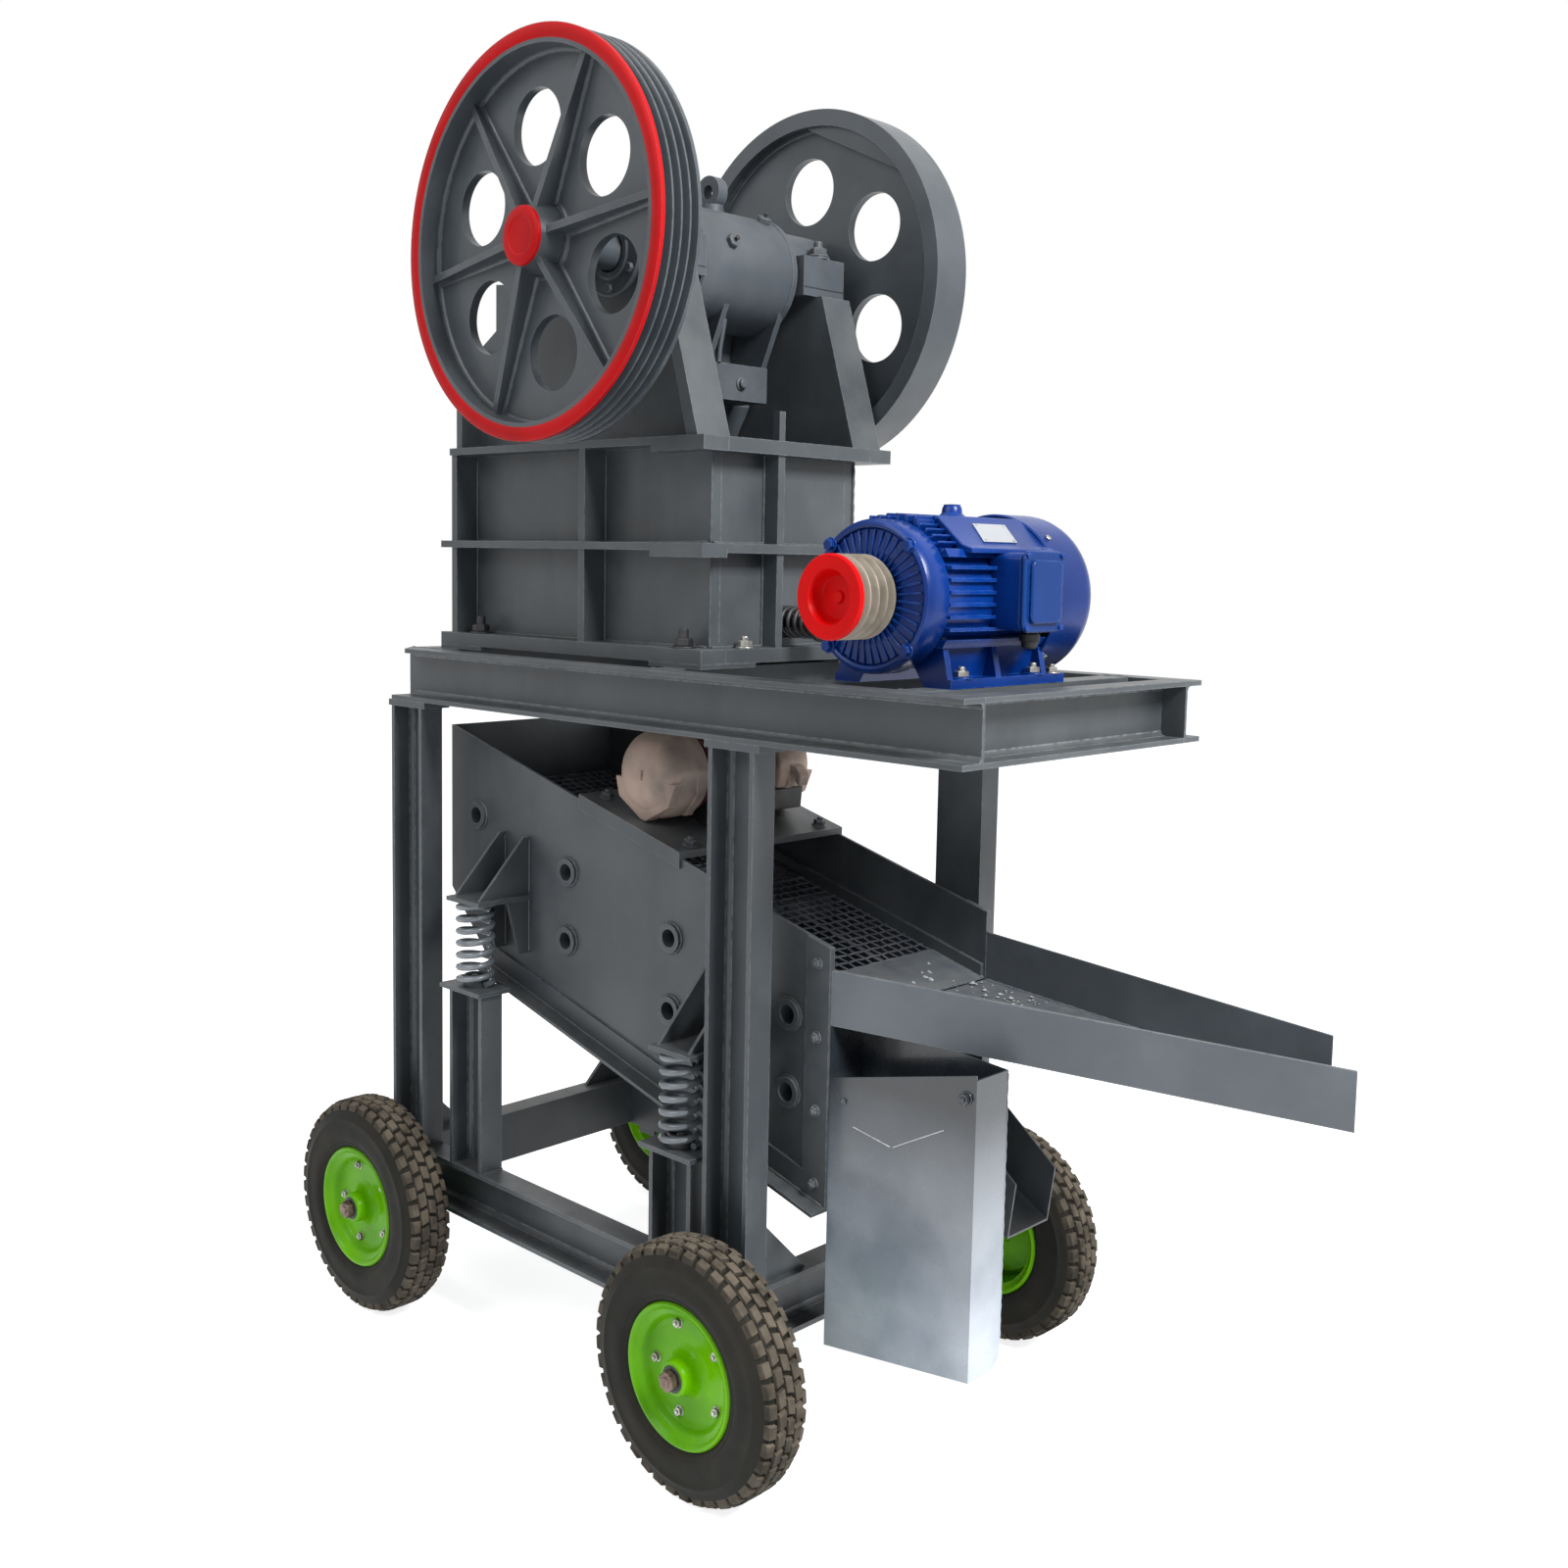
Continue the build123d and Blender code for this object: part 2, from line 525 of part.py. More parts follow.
# Swing jaw
jaw_y = (inner_y[0] + JAW_CLEARANCE, inner_y[1] - JAW_CLEARANCE)
face_slope = (SHAFT_X - PITMAN_RADIUS - JAW_TIP[0]) / (SHAFT_Z - JAW_TIP[1])
shoulder_x = JAW_TIP[0] + face_slope * (JAW_SHOULDER_Z - JAW_TIP[1])
jaw_plate = plate_xz([
    JAW_TIP, JAW_HEEL, JAW_BACK, (JAW_BEAM_X[0], JAW_BEAM_Z[0]), (JAW_BEAM_X[0], JAW_SHOULDER_Z),
    (shoulder_x, JAW_SHOULDER_Z),
], *jaw_y)
neck = plate_xz([
    (shoulder_x, JAW_SHOULDER_Z - 20), (JAW_BEAM_X[0], JAW_SHOULDER_Z - 20), (SHAFT_X, SHAFT_Z),
    (SHAFT_X - PITMAN_RADIUS + 2, SHAFT_Z),
], *pitman_y)
beam_y = (pitman_y[0] + 8, pitman_y[1] - 8)
beam = block(JAW_BEAM_X[0] - 5, JAW_BEAM_X[1], *beam_y, *JAW_BEAM_Z)
rib_outline = [
    (JAW_BEAM_X[0] - 5, JAW_BEAM_Z[1] - 2), (JAW_BEAM_X[1] - 4, JAW_BEAM_Z[1] - 2),
    (SHAFT_X + PITMAN_RADIUS - 18, SHAFT_Z - 52), (SHAFT_X, SHAFT_Z),
]
rib_starts = [beam_y[0], JAW_RIB_Y - JAW_RIB_THICK / 2, beam_y[1] - JAW_RIB_THICK]
jaw_ribs = [plate_xz(rib_outline, y, y + JAW_RIB_THICK) for y in rib_starts]
eye_z = SHAFT_Z + EYE_HEIGHT
eye_y = (FRAME_CENTRE_Y - EYE_THICK / 2, FRAME_CENTRE_Y + EYE_THICK / 2)
swing_jaw = joined([jaw_plate, neck, rod_y(SHAFT_X, SHAFT_Z, PITMAN_RADIUS, *pitman_y), beam, *jaw_ribs,
                    rod_y(SHAFT_X, eye_z, EYE_RADIUS, *eye_y),
                    Pos(SHAFT_X, FRAME_CENTRE_Y, SHAFT_Z + PITMAN_RADIUS) * Cylinder(EYE_RADIUS - 8, 20)])
swing_jaw = swing_jaw - rod_y(SHAFT_X, eye_z, EYE_HOLE, eye_y[0] - 1, eye_y[1] + 1)
bore_y = (pitman_y[0] + PITMAN_CAP, pitman_y[1] - PITMAN_CAP)
swing_jaw = swing_jaw - rod_y(SHAFT_X, SHAFT_Z, PITMAN_BORE, *bore_y)
swing_jaw = swing_jaw - rod_y(SHAFT_X, SHAFT_Z, SHAFT_RADIUS + RUNNING_GAP, pitman_y[0] - 1, pitman_y[1] + 1)

# Tension rod and its spring
washer_x = TENSION_SPRING_LENGTH + 4
rod_bar = Pos(0, 0, (ROD_OUTSIDE - ROD_INSIDE) / 2) * Cylinder(ROD_RADIUS, ROD_INSIDE + ROD_OUTSIDE)
rod_washer = Pos(0, 0, washer_x) * Cylinder(32, 8)
rod_nut = Pos(0, 0, washer_x + 14) * extrude(RegularPolygon(17, 6), amount=10, both=True)
tension_rod = rod_place * joined([rod_bar, rod_washer, rod_nut])


def coil(length, radius, wire, turns):
    """A compression spring of square-section wire standing on the XY plane."""
    run = length - wire / 2
    path = Pos(0, 0, wire / 4) * Helix(pitch=run / turns, height=run, radius=radius)
    section = Plane(origin=path @ 0, z_dir=path % 0) * Rectangle(wire * 0.88, wire * 0.88)
    wound = sweep(section, path=path, is_frenet=True)
    return wound & block(-2 * radius, 2 * radius, -2 * radius, 2 * radius, 0, length)


tension_spring = rod_place * coil(TENSION_SPRING_LENGTH, 24, 8, 6)

# Motor
motor_x = DECK_LENGTH - MOTOR_INSET
motor_z = DECK_TOP + MOTOR_SHAFT_HEIGHT
body_front, body_back = MOTOR_BODY_Y
shield_back = body_front + 52
shield = turned([
    (0, body_front + 14), (50, body_front + 14), (56, body_front), (70, body_front), (98, body_front + 6),
    (105, body_front + 20), (MOTOR_SHIELD_RADIUS, body_front + 26),
    (MOTOR_SHIELD_RADIUS, shield_back), (0, shield_back),
], motor_x, motor_z)
stator = rod_y(motor_x, motor_z, MOTOR_BODY_RADIUS, shield_back - 1, body_back)
fin_limit = rod_y(motor_x, motor_z, MOTOR_FIN_RADIUS, shield_back - 1, body_back)
half_fin = MOTOR_FIN_THICK / 2
fin_steps = [(i - 2.5) * MOTOR_FIN_PITCH for i in range(6)]
side_fins = [block(motor_x - MOTOR_SIDE_REACH, motor_x + MOTOR_SIDE_REACH, shield_back - 1, body_back,
                   motor_z + z - half_fin, motor_z + z + half_fin) for z in fin_steps]
top_fins = [block(motor_x + x - half_fin, motor_x + x + half_fin, shield_back - 1, body_back,
                  motor_z, motor_z + MOTOR_FIN_RADIUS) for x in fin_steps]
rails = [block(motor_x - MOTOR_FIN_RADIUS, motor_x + MOTOR_FIN_RADIUS, shield_back - 1, body_back,
               motor_z + z - 6, motor_z + z + 6) for z in MOTOR_RAIL_Z]
fins = joined([*side_fins, *top_fins, *rails]) & fin_limit
foot_top = DECK_TOP + MOTOR_FOOT_THICK
foot_left, foot_right = [motor_x + x for x in MOTOR_FOOT_X]
foot_side = [
    (motor_x + 40, motor_z - 96), (motor_x + 92, motor_z - 52), (foot_left + 18, foot_top),
    (foot_right, foot_top), (foot_right, DECK_TOP), (foot_left, DECK_TOP),
]
foot_web = [
    (foot_left + 10, DECK_TOP + 2), (foot_right - 6, DECK_TOP + 2), (foot_right - 6, foot_top),
    (motor_x + 92, motor_z - 56), (foot_left + 10, motor_z - 56),
]
foot_middle = (MOTOR_FOOT_Y[0] + body_back) / 2
web_starts = (MOTOR_FOOT_Y[0], foot_middle - 6, body_back - 12)
foot_plate = block(foot_left, foot_right, *MOTOR_FOOT_Y, DECK_TOP, foot_top)
foot_webs = [plate_xz(foot_web, y, y + 12) for y in web_starts]
right_foot = joined([plate_xz(foot_side, MOTOR_FOOT_Y[0], body_back), foot_plate, *foot_webs])
left_foot = mirror(right_foot, about=Plane.YZ.offset(motor_x))
eye_boss = Pos(motor_x, MOTOR_EYE_Y, motor_z + MOTOR_FIN_RADIUS) * Cylinder(13, 34)
motor_frame = joined([shield, stator, fins, right_foot, left_foot, eye_boss])
shaft_depth = body_front + 120
shaft_bore = rod_y(motor_x, motor_z, MOTOR_SHAFT_RADIUS + RUNNING_GAP, body_front - 1, shaft_depth)
motor_frame = motor_frame - shaft_bore
motor_fan_cover = turned([
    (0, body_back), (MOTOR_FAN_RADIUS - 8, body_back), (MOTOR_FAN_RADIUS, body_back + 4),
    (MOTOR_FAN_RADIUS, MOTOR_FAN_Y - 30), (MOTOR_FAN_RADIUS - 18, MOTOR_FAN_Y), (0, MOTOR_FAN_Y),
], motor_x, motor_z)
motor_terminal_box = block(motor_x + TERMINAL_BOX_X[0], motor_x + TERMINAL_BOX_X[1], *TERMINAL_BOX_Y,
                           motor_z + TERMINAL_BOX_Z[0], motor_z + TERMINAL_BOX_Z[1])
motor_terminal_box = motor_terminal_box - joined([stator, fins])

pulley_back = MOTOR_PULLEY_Y + MOTOR_PULLEY_WIDTH
pulley_profile = [
    (0, MOTOR_PULLEY_Y + 22), (MOTOR_PULLEY_CUP - 6, MOTOR_PULLEY_Y + 18), (MOTOR_PULLEY_CUP, MOTOR_PULLEY_Y),
    (MOTOR_PULLEY_RADIUS, MOTOR_PULLEY_Y), *grooves(MOTOR_PULLEY_Y, MOTOR_PULLEY_WIDTH, MOTOR_PULLEY_RADIUS),
    (MOTOR_PULLEY_RADIUS, pulley_back), (MOTOR_SHAFT_RADIUS, pulley_back),
    (MOTOR_SHAFT_RADIUS, shaft_depth - 20), (0, shaft_depth - 20),
]
motor_pulley = turned(pulley_profile, motor_x, motor_z)

# Wheels


def tyre_at(x):
    """A near side tyre."""
    y0, y1 = TYRE_OUTER_Y, -TYRE_GAP
    r = WHEEL_RADIUS
    half_section = [(RIM_RADIUS, 10), (RIM_RADIUS + 22, 0), (r - 34, 2), (r - 10, 12), (r - 2, 26), (r, 38)]
    outer_half = [(radius, y0 + depth) for radius, depth in half_section]
    inner_half = [(radius, y1 - depth) for radius, depth in reversed(half_section)]
    return turned(outer_half + inner_half, x, WHEEL_RADIUS)


def rim_at(x):
    """A near side pressed rim with its bearing hub."""
    y0, y1 = TYRE_OUTER_Y + 10, -TYRE_GAP - 10
    bore = AXLE_RADIUS + RUNNING_GAP
    web = y0 + 34
    hub_face = TYRE_OUTER_Y - WHEEL_HUB_PROUD
    lip = RIM_RADIUS - 11
    return turned([
        (bore, hub_face), (WHEEL_HUB_RADIUS - 4, hub_face), (WHEEL_HUB_RADIUS, hub_face + 4),
        (WHEEL_HUB_RADIUS, web - 4), (lip - 34, web - 4), (lip - 12, y0 + 12), (lip, y0),
        (RIM_RADIUS, y0), (RIM_RADIUS, y1), (lip, y1),
        (lip - 6, y1 - 6), (lip - 6, y0 + 18), (lip - 30, web + 2), (WHEEL_HUB_RADIUS, web + 2),
        (WHEEL_HUB_RADIUS, y1 + 8), (bore, y1 + 8),
    ], x, WHEEL_RADIUS)


near_left_tyre = tyre_at(WHEEL_LEFT_X)
near_right_tyre = tyre_at(WHEEL_RIGHT_X)
near_left_rim = rim_at(WHEEL_LEFT_X)
near_right_rim = rim_at(WHEEL_RIGHT_X)

# Vibrating screen
near_y, far_y = (SCREEN_INSET, FRAME_WIDTH - SCREEN_INSET)
inside_y = (near_y + SIDE_PLATE_THICK, far_y - SIDE_PLATE_THICK)


def sloped_sheet(x0, x1, drop, thick, y0, y1):
    """A flat sheet parallel to the side plates' top edge, its top a given drop below it."""
    return plate_xz([
        (x0, screen_top(x0) - drop), (x1, screen_top(x1) - drop), (x1, screen_top(x1) - drop - thick),
        (x0, screen_top(x0) - drop - thick),
    ], y0, y1)


plate_outline = [
    (SCREEN_LEFT_X, SCREEN_TOP_Z), (SCREEN_RIGHT_X, screen_top(SCREEN_RIGHT_X)),
    (SCREEN_RIGHT_X, screen_top(SCREEN_RIGHT_X) - SIDE_PLATE_DEPTH),
    (SIDE_CUT_X, screen_top(SIDE_CUT_X) - SIDE_PLATE_DEPTH), (SCREEN_LEFT_X, SIDE_LEFT_BOTTOM),
]
side_plate = plate_xz(plate_outline, near_y, near_y + SIDE_PLATE_THICK)
side_flange = sloped_sheet(SIDE_CUT_X, SCREEN_RIGHT_X, SIDE_PLATE_DEPTH - SIDE_PLATE_THICK, SIDE_PLATE_THICK,
                           near_y - SIDE_FLANGE, near_y)
side_band = sloped_sheet(SIDE_CUT_X, SCREEN_RIGHT_X, SIDE_PLATE_DEPTH - SIDE_BAND, SIDE_BAND,
                         near_y - SIDE_BAND_THICK, near_y)
side_strip = sloped_sheet(SCREEN_RIGHT_X - SIDE_STRIP, SCREEN_RIGHT_X, 0, SIDE_PLATE_DEPTH,
                          near_y - SIDE_BAND_THICK, near_y)
near_side_plate = joined([side_plate, side_flange, side_band, side_strip])
tube_centres = [(x, screen_top(x) - UPPER_TUBE_DROP) for x in TUBE_X]
tube_centres += [(x, screen_top(x) - UPPER_TUBE_DROP - TUBE_ROW_GAP) for x in TUBE_X[1:]]
for x, z in tube_centres:
    near_side_plate = near_side_plate - rod_y(x, z, TUBE_RADIUS, near_y - 60, near_y + 60)
far_side_plate = mirrored(near_side_plate)
cross_tubes = Compound([
    rod_y(x, z, TUBE_RADIUS, near_y - TUBE_PROUD, far_y + TUBE_PROUD)
    - rod_y(x, z, TUBE_RADIUS - TUBE_WALL, near_y - TUBE_PROUD - 1, far_y + TUBE_PROUD + 1)
    for x, z in tube_centres
])
screen_rear_plate = block(SCREEN_LEFT_X, SCREEN_LEFT_X + SIDE_PLATE_THICK, *inside_y,
                          SIDE_LEFT_BOTTOM, SCREEN_TOP_Z)

mesh_x = (SCREEN_LEFT_X + SIDE_PLATE_THICK + MESH_END_GAP, SCREEN_RIGHT_X - MESH_END_GAP)


def mesh(x0, x1, drop):
    """A wire deck of crossing bars."""
    y0, y1 = inside_y
    along = int((y1 - y0) / MESH_PITCH)
    across = int((x1 - x0) / MESH_PITCH)
    bar_y = [y0 + (y1 - y0 - MESH_WIRE) * i / along for i in range(along + 1)]
    bar_x = [x0 + (x1 - x0 - MESH_WIRE) * i / across for i in range(across + 1)]
    bars = [sloped_sheet(x0, x1, drop, MESH_THICK, y, y + MESH_WIRE) for y in bar_y]
    cross = [sloped_sheet(x, x + MESH_WIRE, drop, MESH_THICK, y0, y1) for x in bar_x]
    return Compound(bars).fuse(*cross)


tube_rise = TUBE_RADIUS / cos(radians(SCREEN_SLOPE))
stringer_top = UPPER_MESH_DROP + MESH_THICK
stringer_depth = UPPER_TUBE_DROP - tube_rise - stringer_top
stringer_y = [inside_y[0] + (inside_y[1] - inside_y[0] - STRINGER_THICK) * i / (STRINGER_COUNT - 1)
              for i in range(STRINGER_COUNT)]
stringers = [sloped_sheet(*mesh_x, stringer_top - 1, stringer_depth + 1, y, y + STRINGER_THICK)
             for y in stringer_y]
upper_mesh = mesh(*mesh_x, UPPER_MESH_DROP).fuse(*stringers)
lower_drop = UPPER_TUBE_DROP + TUBE_ROW_GAP - tube_rise - MESH_THICK
lower_mesh = mesh(LOWER_MESH_LEFT_X, mesh_x[1], lower_drop)
pan_drop = SIDE_PLATE_DEPTH - PAN_RISE - PAN_THICK
bottom_pan = sloped_sheet(SIDE_CUT_X + 10, SCREEN_RIGHT_X, pan_drop, PAN_THICK, *inside_y)

# Oversize tray
tray_top = screen_top(SCREEN_RIGHT_X) - TRAY_EDGE_DROP
tray_fall = tan(radians(TRAY_SLOPE))
past_tray_x = TRAY_END_X[0] + TRAY_WALL


def tray_z(x, rise):
    """Height at x of a line a given rise above the tray's floor."""
    return tray_top - TRAY_WALL + rise - tray_fall * (x - SCREEN_RIGHT_X)


def tray_band(x0, x1, low, high):
    """A sloped slab between two rises above the tray's floor, over the whole width."""
    corners = [(x0, tray_z(x0, high)), (x1, tray_z(x1, high)), (x1, tray_z(x1, low)), (x0, tray_z(x0, low))]
    return plate_xz(corners, near_y - 5, far_y + 5)


tray_plan = [(SCREEN_RIGHT_X, near_y), (TRAY_END_X[0], far_y - TRAY_END_WIDTH), (TRAY_END_X[1], far_y),
             (SCREEN_RIGHT_X, far_y)]
tray_inner = [(SCREEN_RIGHT_X - 10, near_y + TRAY_THICK),
              (TRAY_END_X[0] + 30, far_y - TRAY_END_WIDTH + TRAY_THICK + 12),
              (TRAY_END_X[1] + 30, far_y - TRAY_THICK), (SCREEN_RIGHT_X - 10, far_y - TRAY_THICK)]
tray_solid = tray_band(SCREEN_RIGHT_X, past_tray_x, 0, TRAY_WALL)
tray_solid = tray_solid & extrude(outline(tray_plan), amount=SPREAD)
tray_hollow = tray_band(SCREEN_RIGHT_X - 10, past_tray_x, TRAY_THICK, TRAY_WALL + 50)
tray_hollow = tray_hollow & extrude(outline(tray_inner), amount=SPREAD)
oversize_tray = tray_solid - tray_hollow

# Chutes
chute_x = (SCREEN_RIGHT_X, SCREEN_RIGHT_X + CHUTE_LENGTH)
chute_y = (near_y, near_y + CHUTE_WIDTH)
chute_in_x = (chute_x[0] + CHUTE_SHEET, chute_x[1] - CHUTE_SHEET)
chute_outer = block(*chute_x, *chute_y, CHUTE_MOUTH_Z[0] - 30, tray_top)
chute_inner = block(*chute_in_x, chute_y[0] + CHUTE_SHEET, chute_y[1] - CHUTE_SHEET, 0, tray_top + 50)
mouth_cut = plate_xz([(chute_x[0], 0), (chute_x[1], 0), (chute_x[1], CHUTE_MOUTH_Z[1]),
                      (chute_x[0], CHUTE_MOUTH_Z[0])], 0, FRAME_WIDTH)
mouth_slant = plate_yz([(0, 0), (chute_y[0], CHUTE_MOUTH_Z[0]), (chute_y[1] + 50, CHUTE_MOUTH_Z[0] + 96),
                        (FRAME_WIDTH, 0)], chute_x[0] - 5, chute_x[1] + 5)
under_tray = tray_band(SCREEN_RIGHT_X - 5, past_tray_x, 0, SPREAD)
chute_opening = block(*chute_in_x, chute_y[0] - 1, chute_y[0] + CHUTE_SHEET + 1, CHUTE_OPEN_Z, tray_top)
mid_chute = chute_outer - chute_inner - mouth_cut - mouth_slant - under_tray - chute_opening

fines_y = (far_y - FINES_INSET - FINES_WIDTH, far_y - FINES_INSET)
fines_top = screen_top(SCREEN_RIGHT_X) - SIDE_PLATE_DEPTH + FINES_RISE
fines_x = [SCREEN_RIGHT_X + run for run in FINES_RUN]
fines_side = [
    (SCREEN_RIGHT_X, fines_top - FINES_DROP[1]), (fines_x[0], fines_top - FINES_DROP[2]),
    (fines_x[1], fines_top - FINES_DROP[1] + 13), (fines_x[2], fines_top), (SCREEN_RIGHT_X, fines_top),
]
fines_hollow = [
    (SCREEN_RIGHT_X - 1, fines_top - FINES_DROP[1] + 6), (fines_x[0] + 24, fines_top - FINES_DROP[2] - 10),
    (fines_x[1] + 31, fines_top + 170), (SCREEN_RIGHT_X - 1, fines_top + 170),
]
fines_chute = (plate_xz(fines_side, *fines_y)
               - plate_xz(fines_hollow, fines_y[0] + FINES_SHEET, fines_y[1] - FINES_SHEET))

# Vibrator and its bridge
bridge_inner_x = (BRIDGE_X[0] + BRIDGE_SHEET, BRIDGE_X[1] - BRIDGE_SHEET)
bridge_hollow = sloped_sheet(*bridge_inner_x, -BRIDGE_HEIGHT + BRIDGE_SHEET, BRIDGE_HEIGHT, *inside_y)
bridge_skirt = sloped_sheet(*BRIDGE_X, -BRIDGE_HEIGHT, BRIDGE_HEIGHT + BRIDGE_SKIRT,
                            near_y - BRIDGE_SKIRT_THICK, near_y)
bridge_top = sloped_sheet(*BRIDGE_X, -BRIDGE_HEIGHT, BRIDGE_HEIGHT, near_y, far_y) - bridge_hollow
vibrator_bridge = joined([bridge_top, bridge_skirt, mirrored(bridge_skirt)])
vibrator_z = screen_top(VIBRATOR_X) + VIBRATOR_RISE
vibrator_y = FRAME_CENTRE_Y - VIBRATOR_SPREAD / 2
half_turn = [(0, 0), (40, 0), (72, 20), (VIBRATOR_RADIUS, 35), (VIBRATOR_RADIUS, 95),
             (VIBRATOR_BODY_RADIUS, 102)]
vibrator_profile = [(r, vibrator_y + y) for r, y in half_turn]
vibrator_profile += [(r, FRAME_WIDTH - vibrator_y - y) for r, y in reversed(half_turn)]
foot_x = (VIBRATOR_X - VIBRATOR_FOOT, VIBRATOR_X + VIBRATOR_FOOT)
vibrator_foot = plate_xz([
    *[(x, screen_top(x) + BRIDGE_HEIGHT) for x in foot_x],
    (foot_x[1] - 25, vibrator_z), (foot_x[0] + 25, vibrator_z),
], FRAME_CENTRE_Y - 71, FRAME_CENTRE_Y + 71)
vibrator_motor = turned(vibrator_profile, VIBRATOR_X, vibrator_z) + vibrator_foot


def spring_bracket(x, seat_top):
    """A plate over one spring with its two gussets on the side plate."""
    under = seat_top + SPRING_LENGTH
    middle = x + half_depth + BRACKET_SHIFT
    top_plate = block(middle - BRACKET_HALF, middle + BRACKET_HALF, SEAT_Y[0], near_y,
                      under, under + BRACKET_THICK)
    gusset = [
        (near_y, under - BRACKET_DROP), (near_y, under + BRACKET_RISE), (near_y - 14, under + BRACKET_RISE),
        (SEAT_Y[0] + 10, under + BRACKET_THICK), (SEAT_Y[0] + 10, under), (SEAT_Y[1] + 2, under),
        (near_y - 24, under - BRACKET_DROP),
    ]
    sides = [plate_yz(gusset, middle + x0, middle + x0 + BRACKET_GUSSET_THICK) for x0 in BRACKET_GUSSETS]
    return joined([top_plate, *sides])


near_brackets = [spring_bracket(LEFT_POST_X, LEFT_SEAT_TOP), spring_bracket(RIGHT_POST_X, RIGHT_SEAT_TOP)]
near_brackets = [bracket - near_side_plate for bracket in near_brackets]
spring_brackets = Compound(near_brackets + [mirrored(bracket) for bracket in near_brackets])

spring = coil(SPRING_LENGTH, SPRING_RADIUS, SPRING_WIRE, SPRING_TURNS)


def spring_pair(x, seat_top):
    """The near and far springs at one post position."""
    return Compound([Pos(x + half_depth, y, seat_top) * spring for y in (SPRING_Y, FRAME_WIDTH - SPRING_Y)])


left_screen_springs = spring_pair(LEFT_POST_X, LEFT_SEAT_TOP)
right_screen_springs = spring_pair(RIGHT_POST_X, RIGHT_SEAT_TOP)

nodes = {
    "base_long_rails": base_long_rails,
    "base_cross_rails": base_cross_rails,
    "legs": legs,
    "leg_gussets": leg_gussets,
    "spring_posts": spring_posts,
    "axle_stubs": axle_stubs,
    "deck_long_beams": deck_long_beams,
    "deck_cross_beams": deck_cross_beams,
    "crusher_pads": crusher_pads,
    "near_side_wall": near_side_wall,
    "far_side_wall": far_side_wall,
    "front_wall": front_wall,
    "rear_wall": rear_wall,
    "bearing_housings": bearing_housings,
    "tension_rod": tension_rod,
    "tension_spring": tension_spring,
    "eccentric_shaft": eccentric_shaft,
    "grooved_flywheel": grooved_flywheel,
    "plain_flywheel": plain_flywheel,
    "swing_jaw": swing_jaw,
    "motor_frame": motor_frame,
    "motor_fan_cover": motor_fan_cover,
    "motor_terminal_box": motor_terminal_box,
    "motor_pulley": motor_pulley,
    "near_left_tyre": near_left_tyre,
    "near_left_rim": near_left_rim,
    "near_right_tyre": near_right_tyre,
    "near_right_rim": near_right_rim,
    "far_left_tyre": mirrored(near_left_tyre),
    "far_left_rim": mirrored(near_left_rim),
    "far_right_tyre": mirrored(near_right_tyre),
    "far_right_rim": mirrored(near_right_rim),
    "near_side_plate": near_side_plate,
    "far_side_plate": far_side_plate,
    "screen_rear_plate": screen_rear_plate,
    "cross_tubes": cross_tubes,
    "upper_mesh": upper_mesh,
    "lower_mesh": lower_mesh,
    "bottom_pan": bottom_pan,
    "oversize_tray": oversize_tray,
    "mid_chute": mid_chute,
    "fines_chute": fines_chute,
    "vibrator_bridge": vibrator_bridge,
    "vibrator_motor": vibrator_motor,
    "spring_brackets": spring_brackets,
    "left_screen_springs": left_screen_springs,
    "right_screen_springs": right_screen_springs,
}

to_record_frame = Pos(-ORIGIN_X, -FRAME_CENTRE_Y, 0)
for name, shape in nodes.items():
    export_step(to_record_frame * Compound(shape.solids()), f"parts/{name}.step")
    print(name, len(shape.solids()), round(shape.volume / 1000))
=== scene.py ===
"""Dresses the jaw crusher set: paint, rubber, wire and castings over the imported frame."""
import logging
import math
import random
from dataclasses import dataclass
from enum import Enum

import bmesh
import bpy
from mathutils import Matrix, Vector


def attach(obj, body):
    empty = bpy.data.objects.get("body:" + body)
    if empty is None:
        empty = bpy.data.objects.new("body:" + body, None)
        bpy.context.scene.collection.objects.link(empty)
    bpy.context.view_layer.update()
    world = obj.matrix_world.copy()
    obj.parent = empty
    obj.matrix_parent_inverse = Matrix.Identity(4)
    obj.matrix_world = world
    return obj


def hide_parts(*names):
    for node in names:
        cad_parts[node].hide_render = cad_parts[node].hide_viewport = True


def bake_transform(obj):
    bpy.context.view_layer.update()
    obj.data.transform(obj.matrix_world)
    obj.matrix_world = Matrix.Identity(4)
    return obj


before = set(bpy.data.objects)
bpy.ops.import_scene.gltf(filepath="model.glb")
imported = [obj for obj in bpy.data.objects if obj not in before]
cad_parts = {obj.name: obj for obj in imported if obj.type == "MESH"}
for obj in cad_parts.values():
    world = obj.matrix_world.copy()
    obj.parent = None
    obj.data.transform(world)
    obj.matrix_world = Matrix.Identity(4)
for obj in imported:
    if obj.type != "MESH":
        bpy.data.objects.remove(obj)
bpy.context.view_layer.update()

log = logging.getLogger("jaw_crusher")

# Shapes are drawn in millimetres from the deck's near left corner, over the ground. ORIGIN is the middle of
# the set in that drawing, and each finished piece is moved by it.
MM = 0.001
ORIGIN = Vector((814.5, 316.0, 0.0))
WIDTH = 632.0
BASE_LENGTH = 990.0
CRUSHER_SHAFT = (550.0, 1976.0)
SPRING_SEATS = ((242.0, 655.0), (812.0, 497.0))
SPRING_Y = (24.0, WIDTH - 24.0)
SPRING_LENGTH = 162.0
SCREEN_ANGLE = math.radians(14.7)
Point = tuple[float, float, float]
Profile = list[tuple[float, float]]
Colour = tuple[float, float, float]
Loop = list[bmesh.types.BMVert]


class Line(Enum):
    """The direction that a shape is turned about or drawn out along."""

    X = 0
    Y = 1
    Z = 2


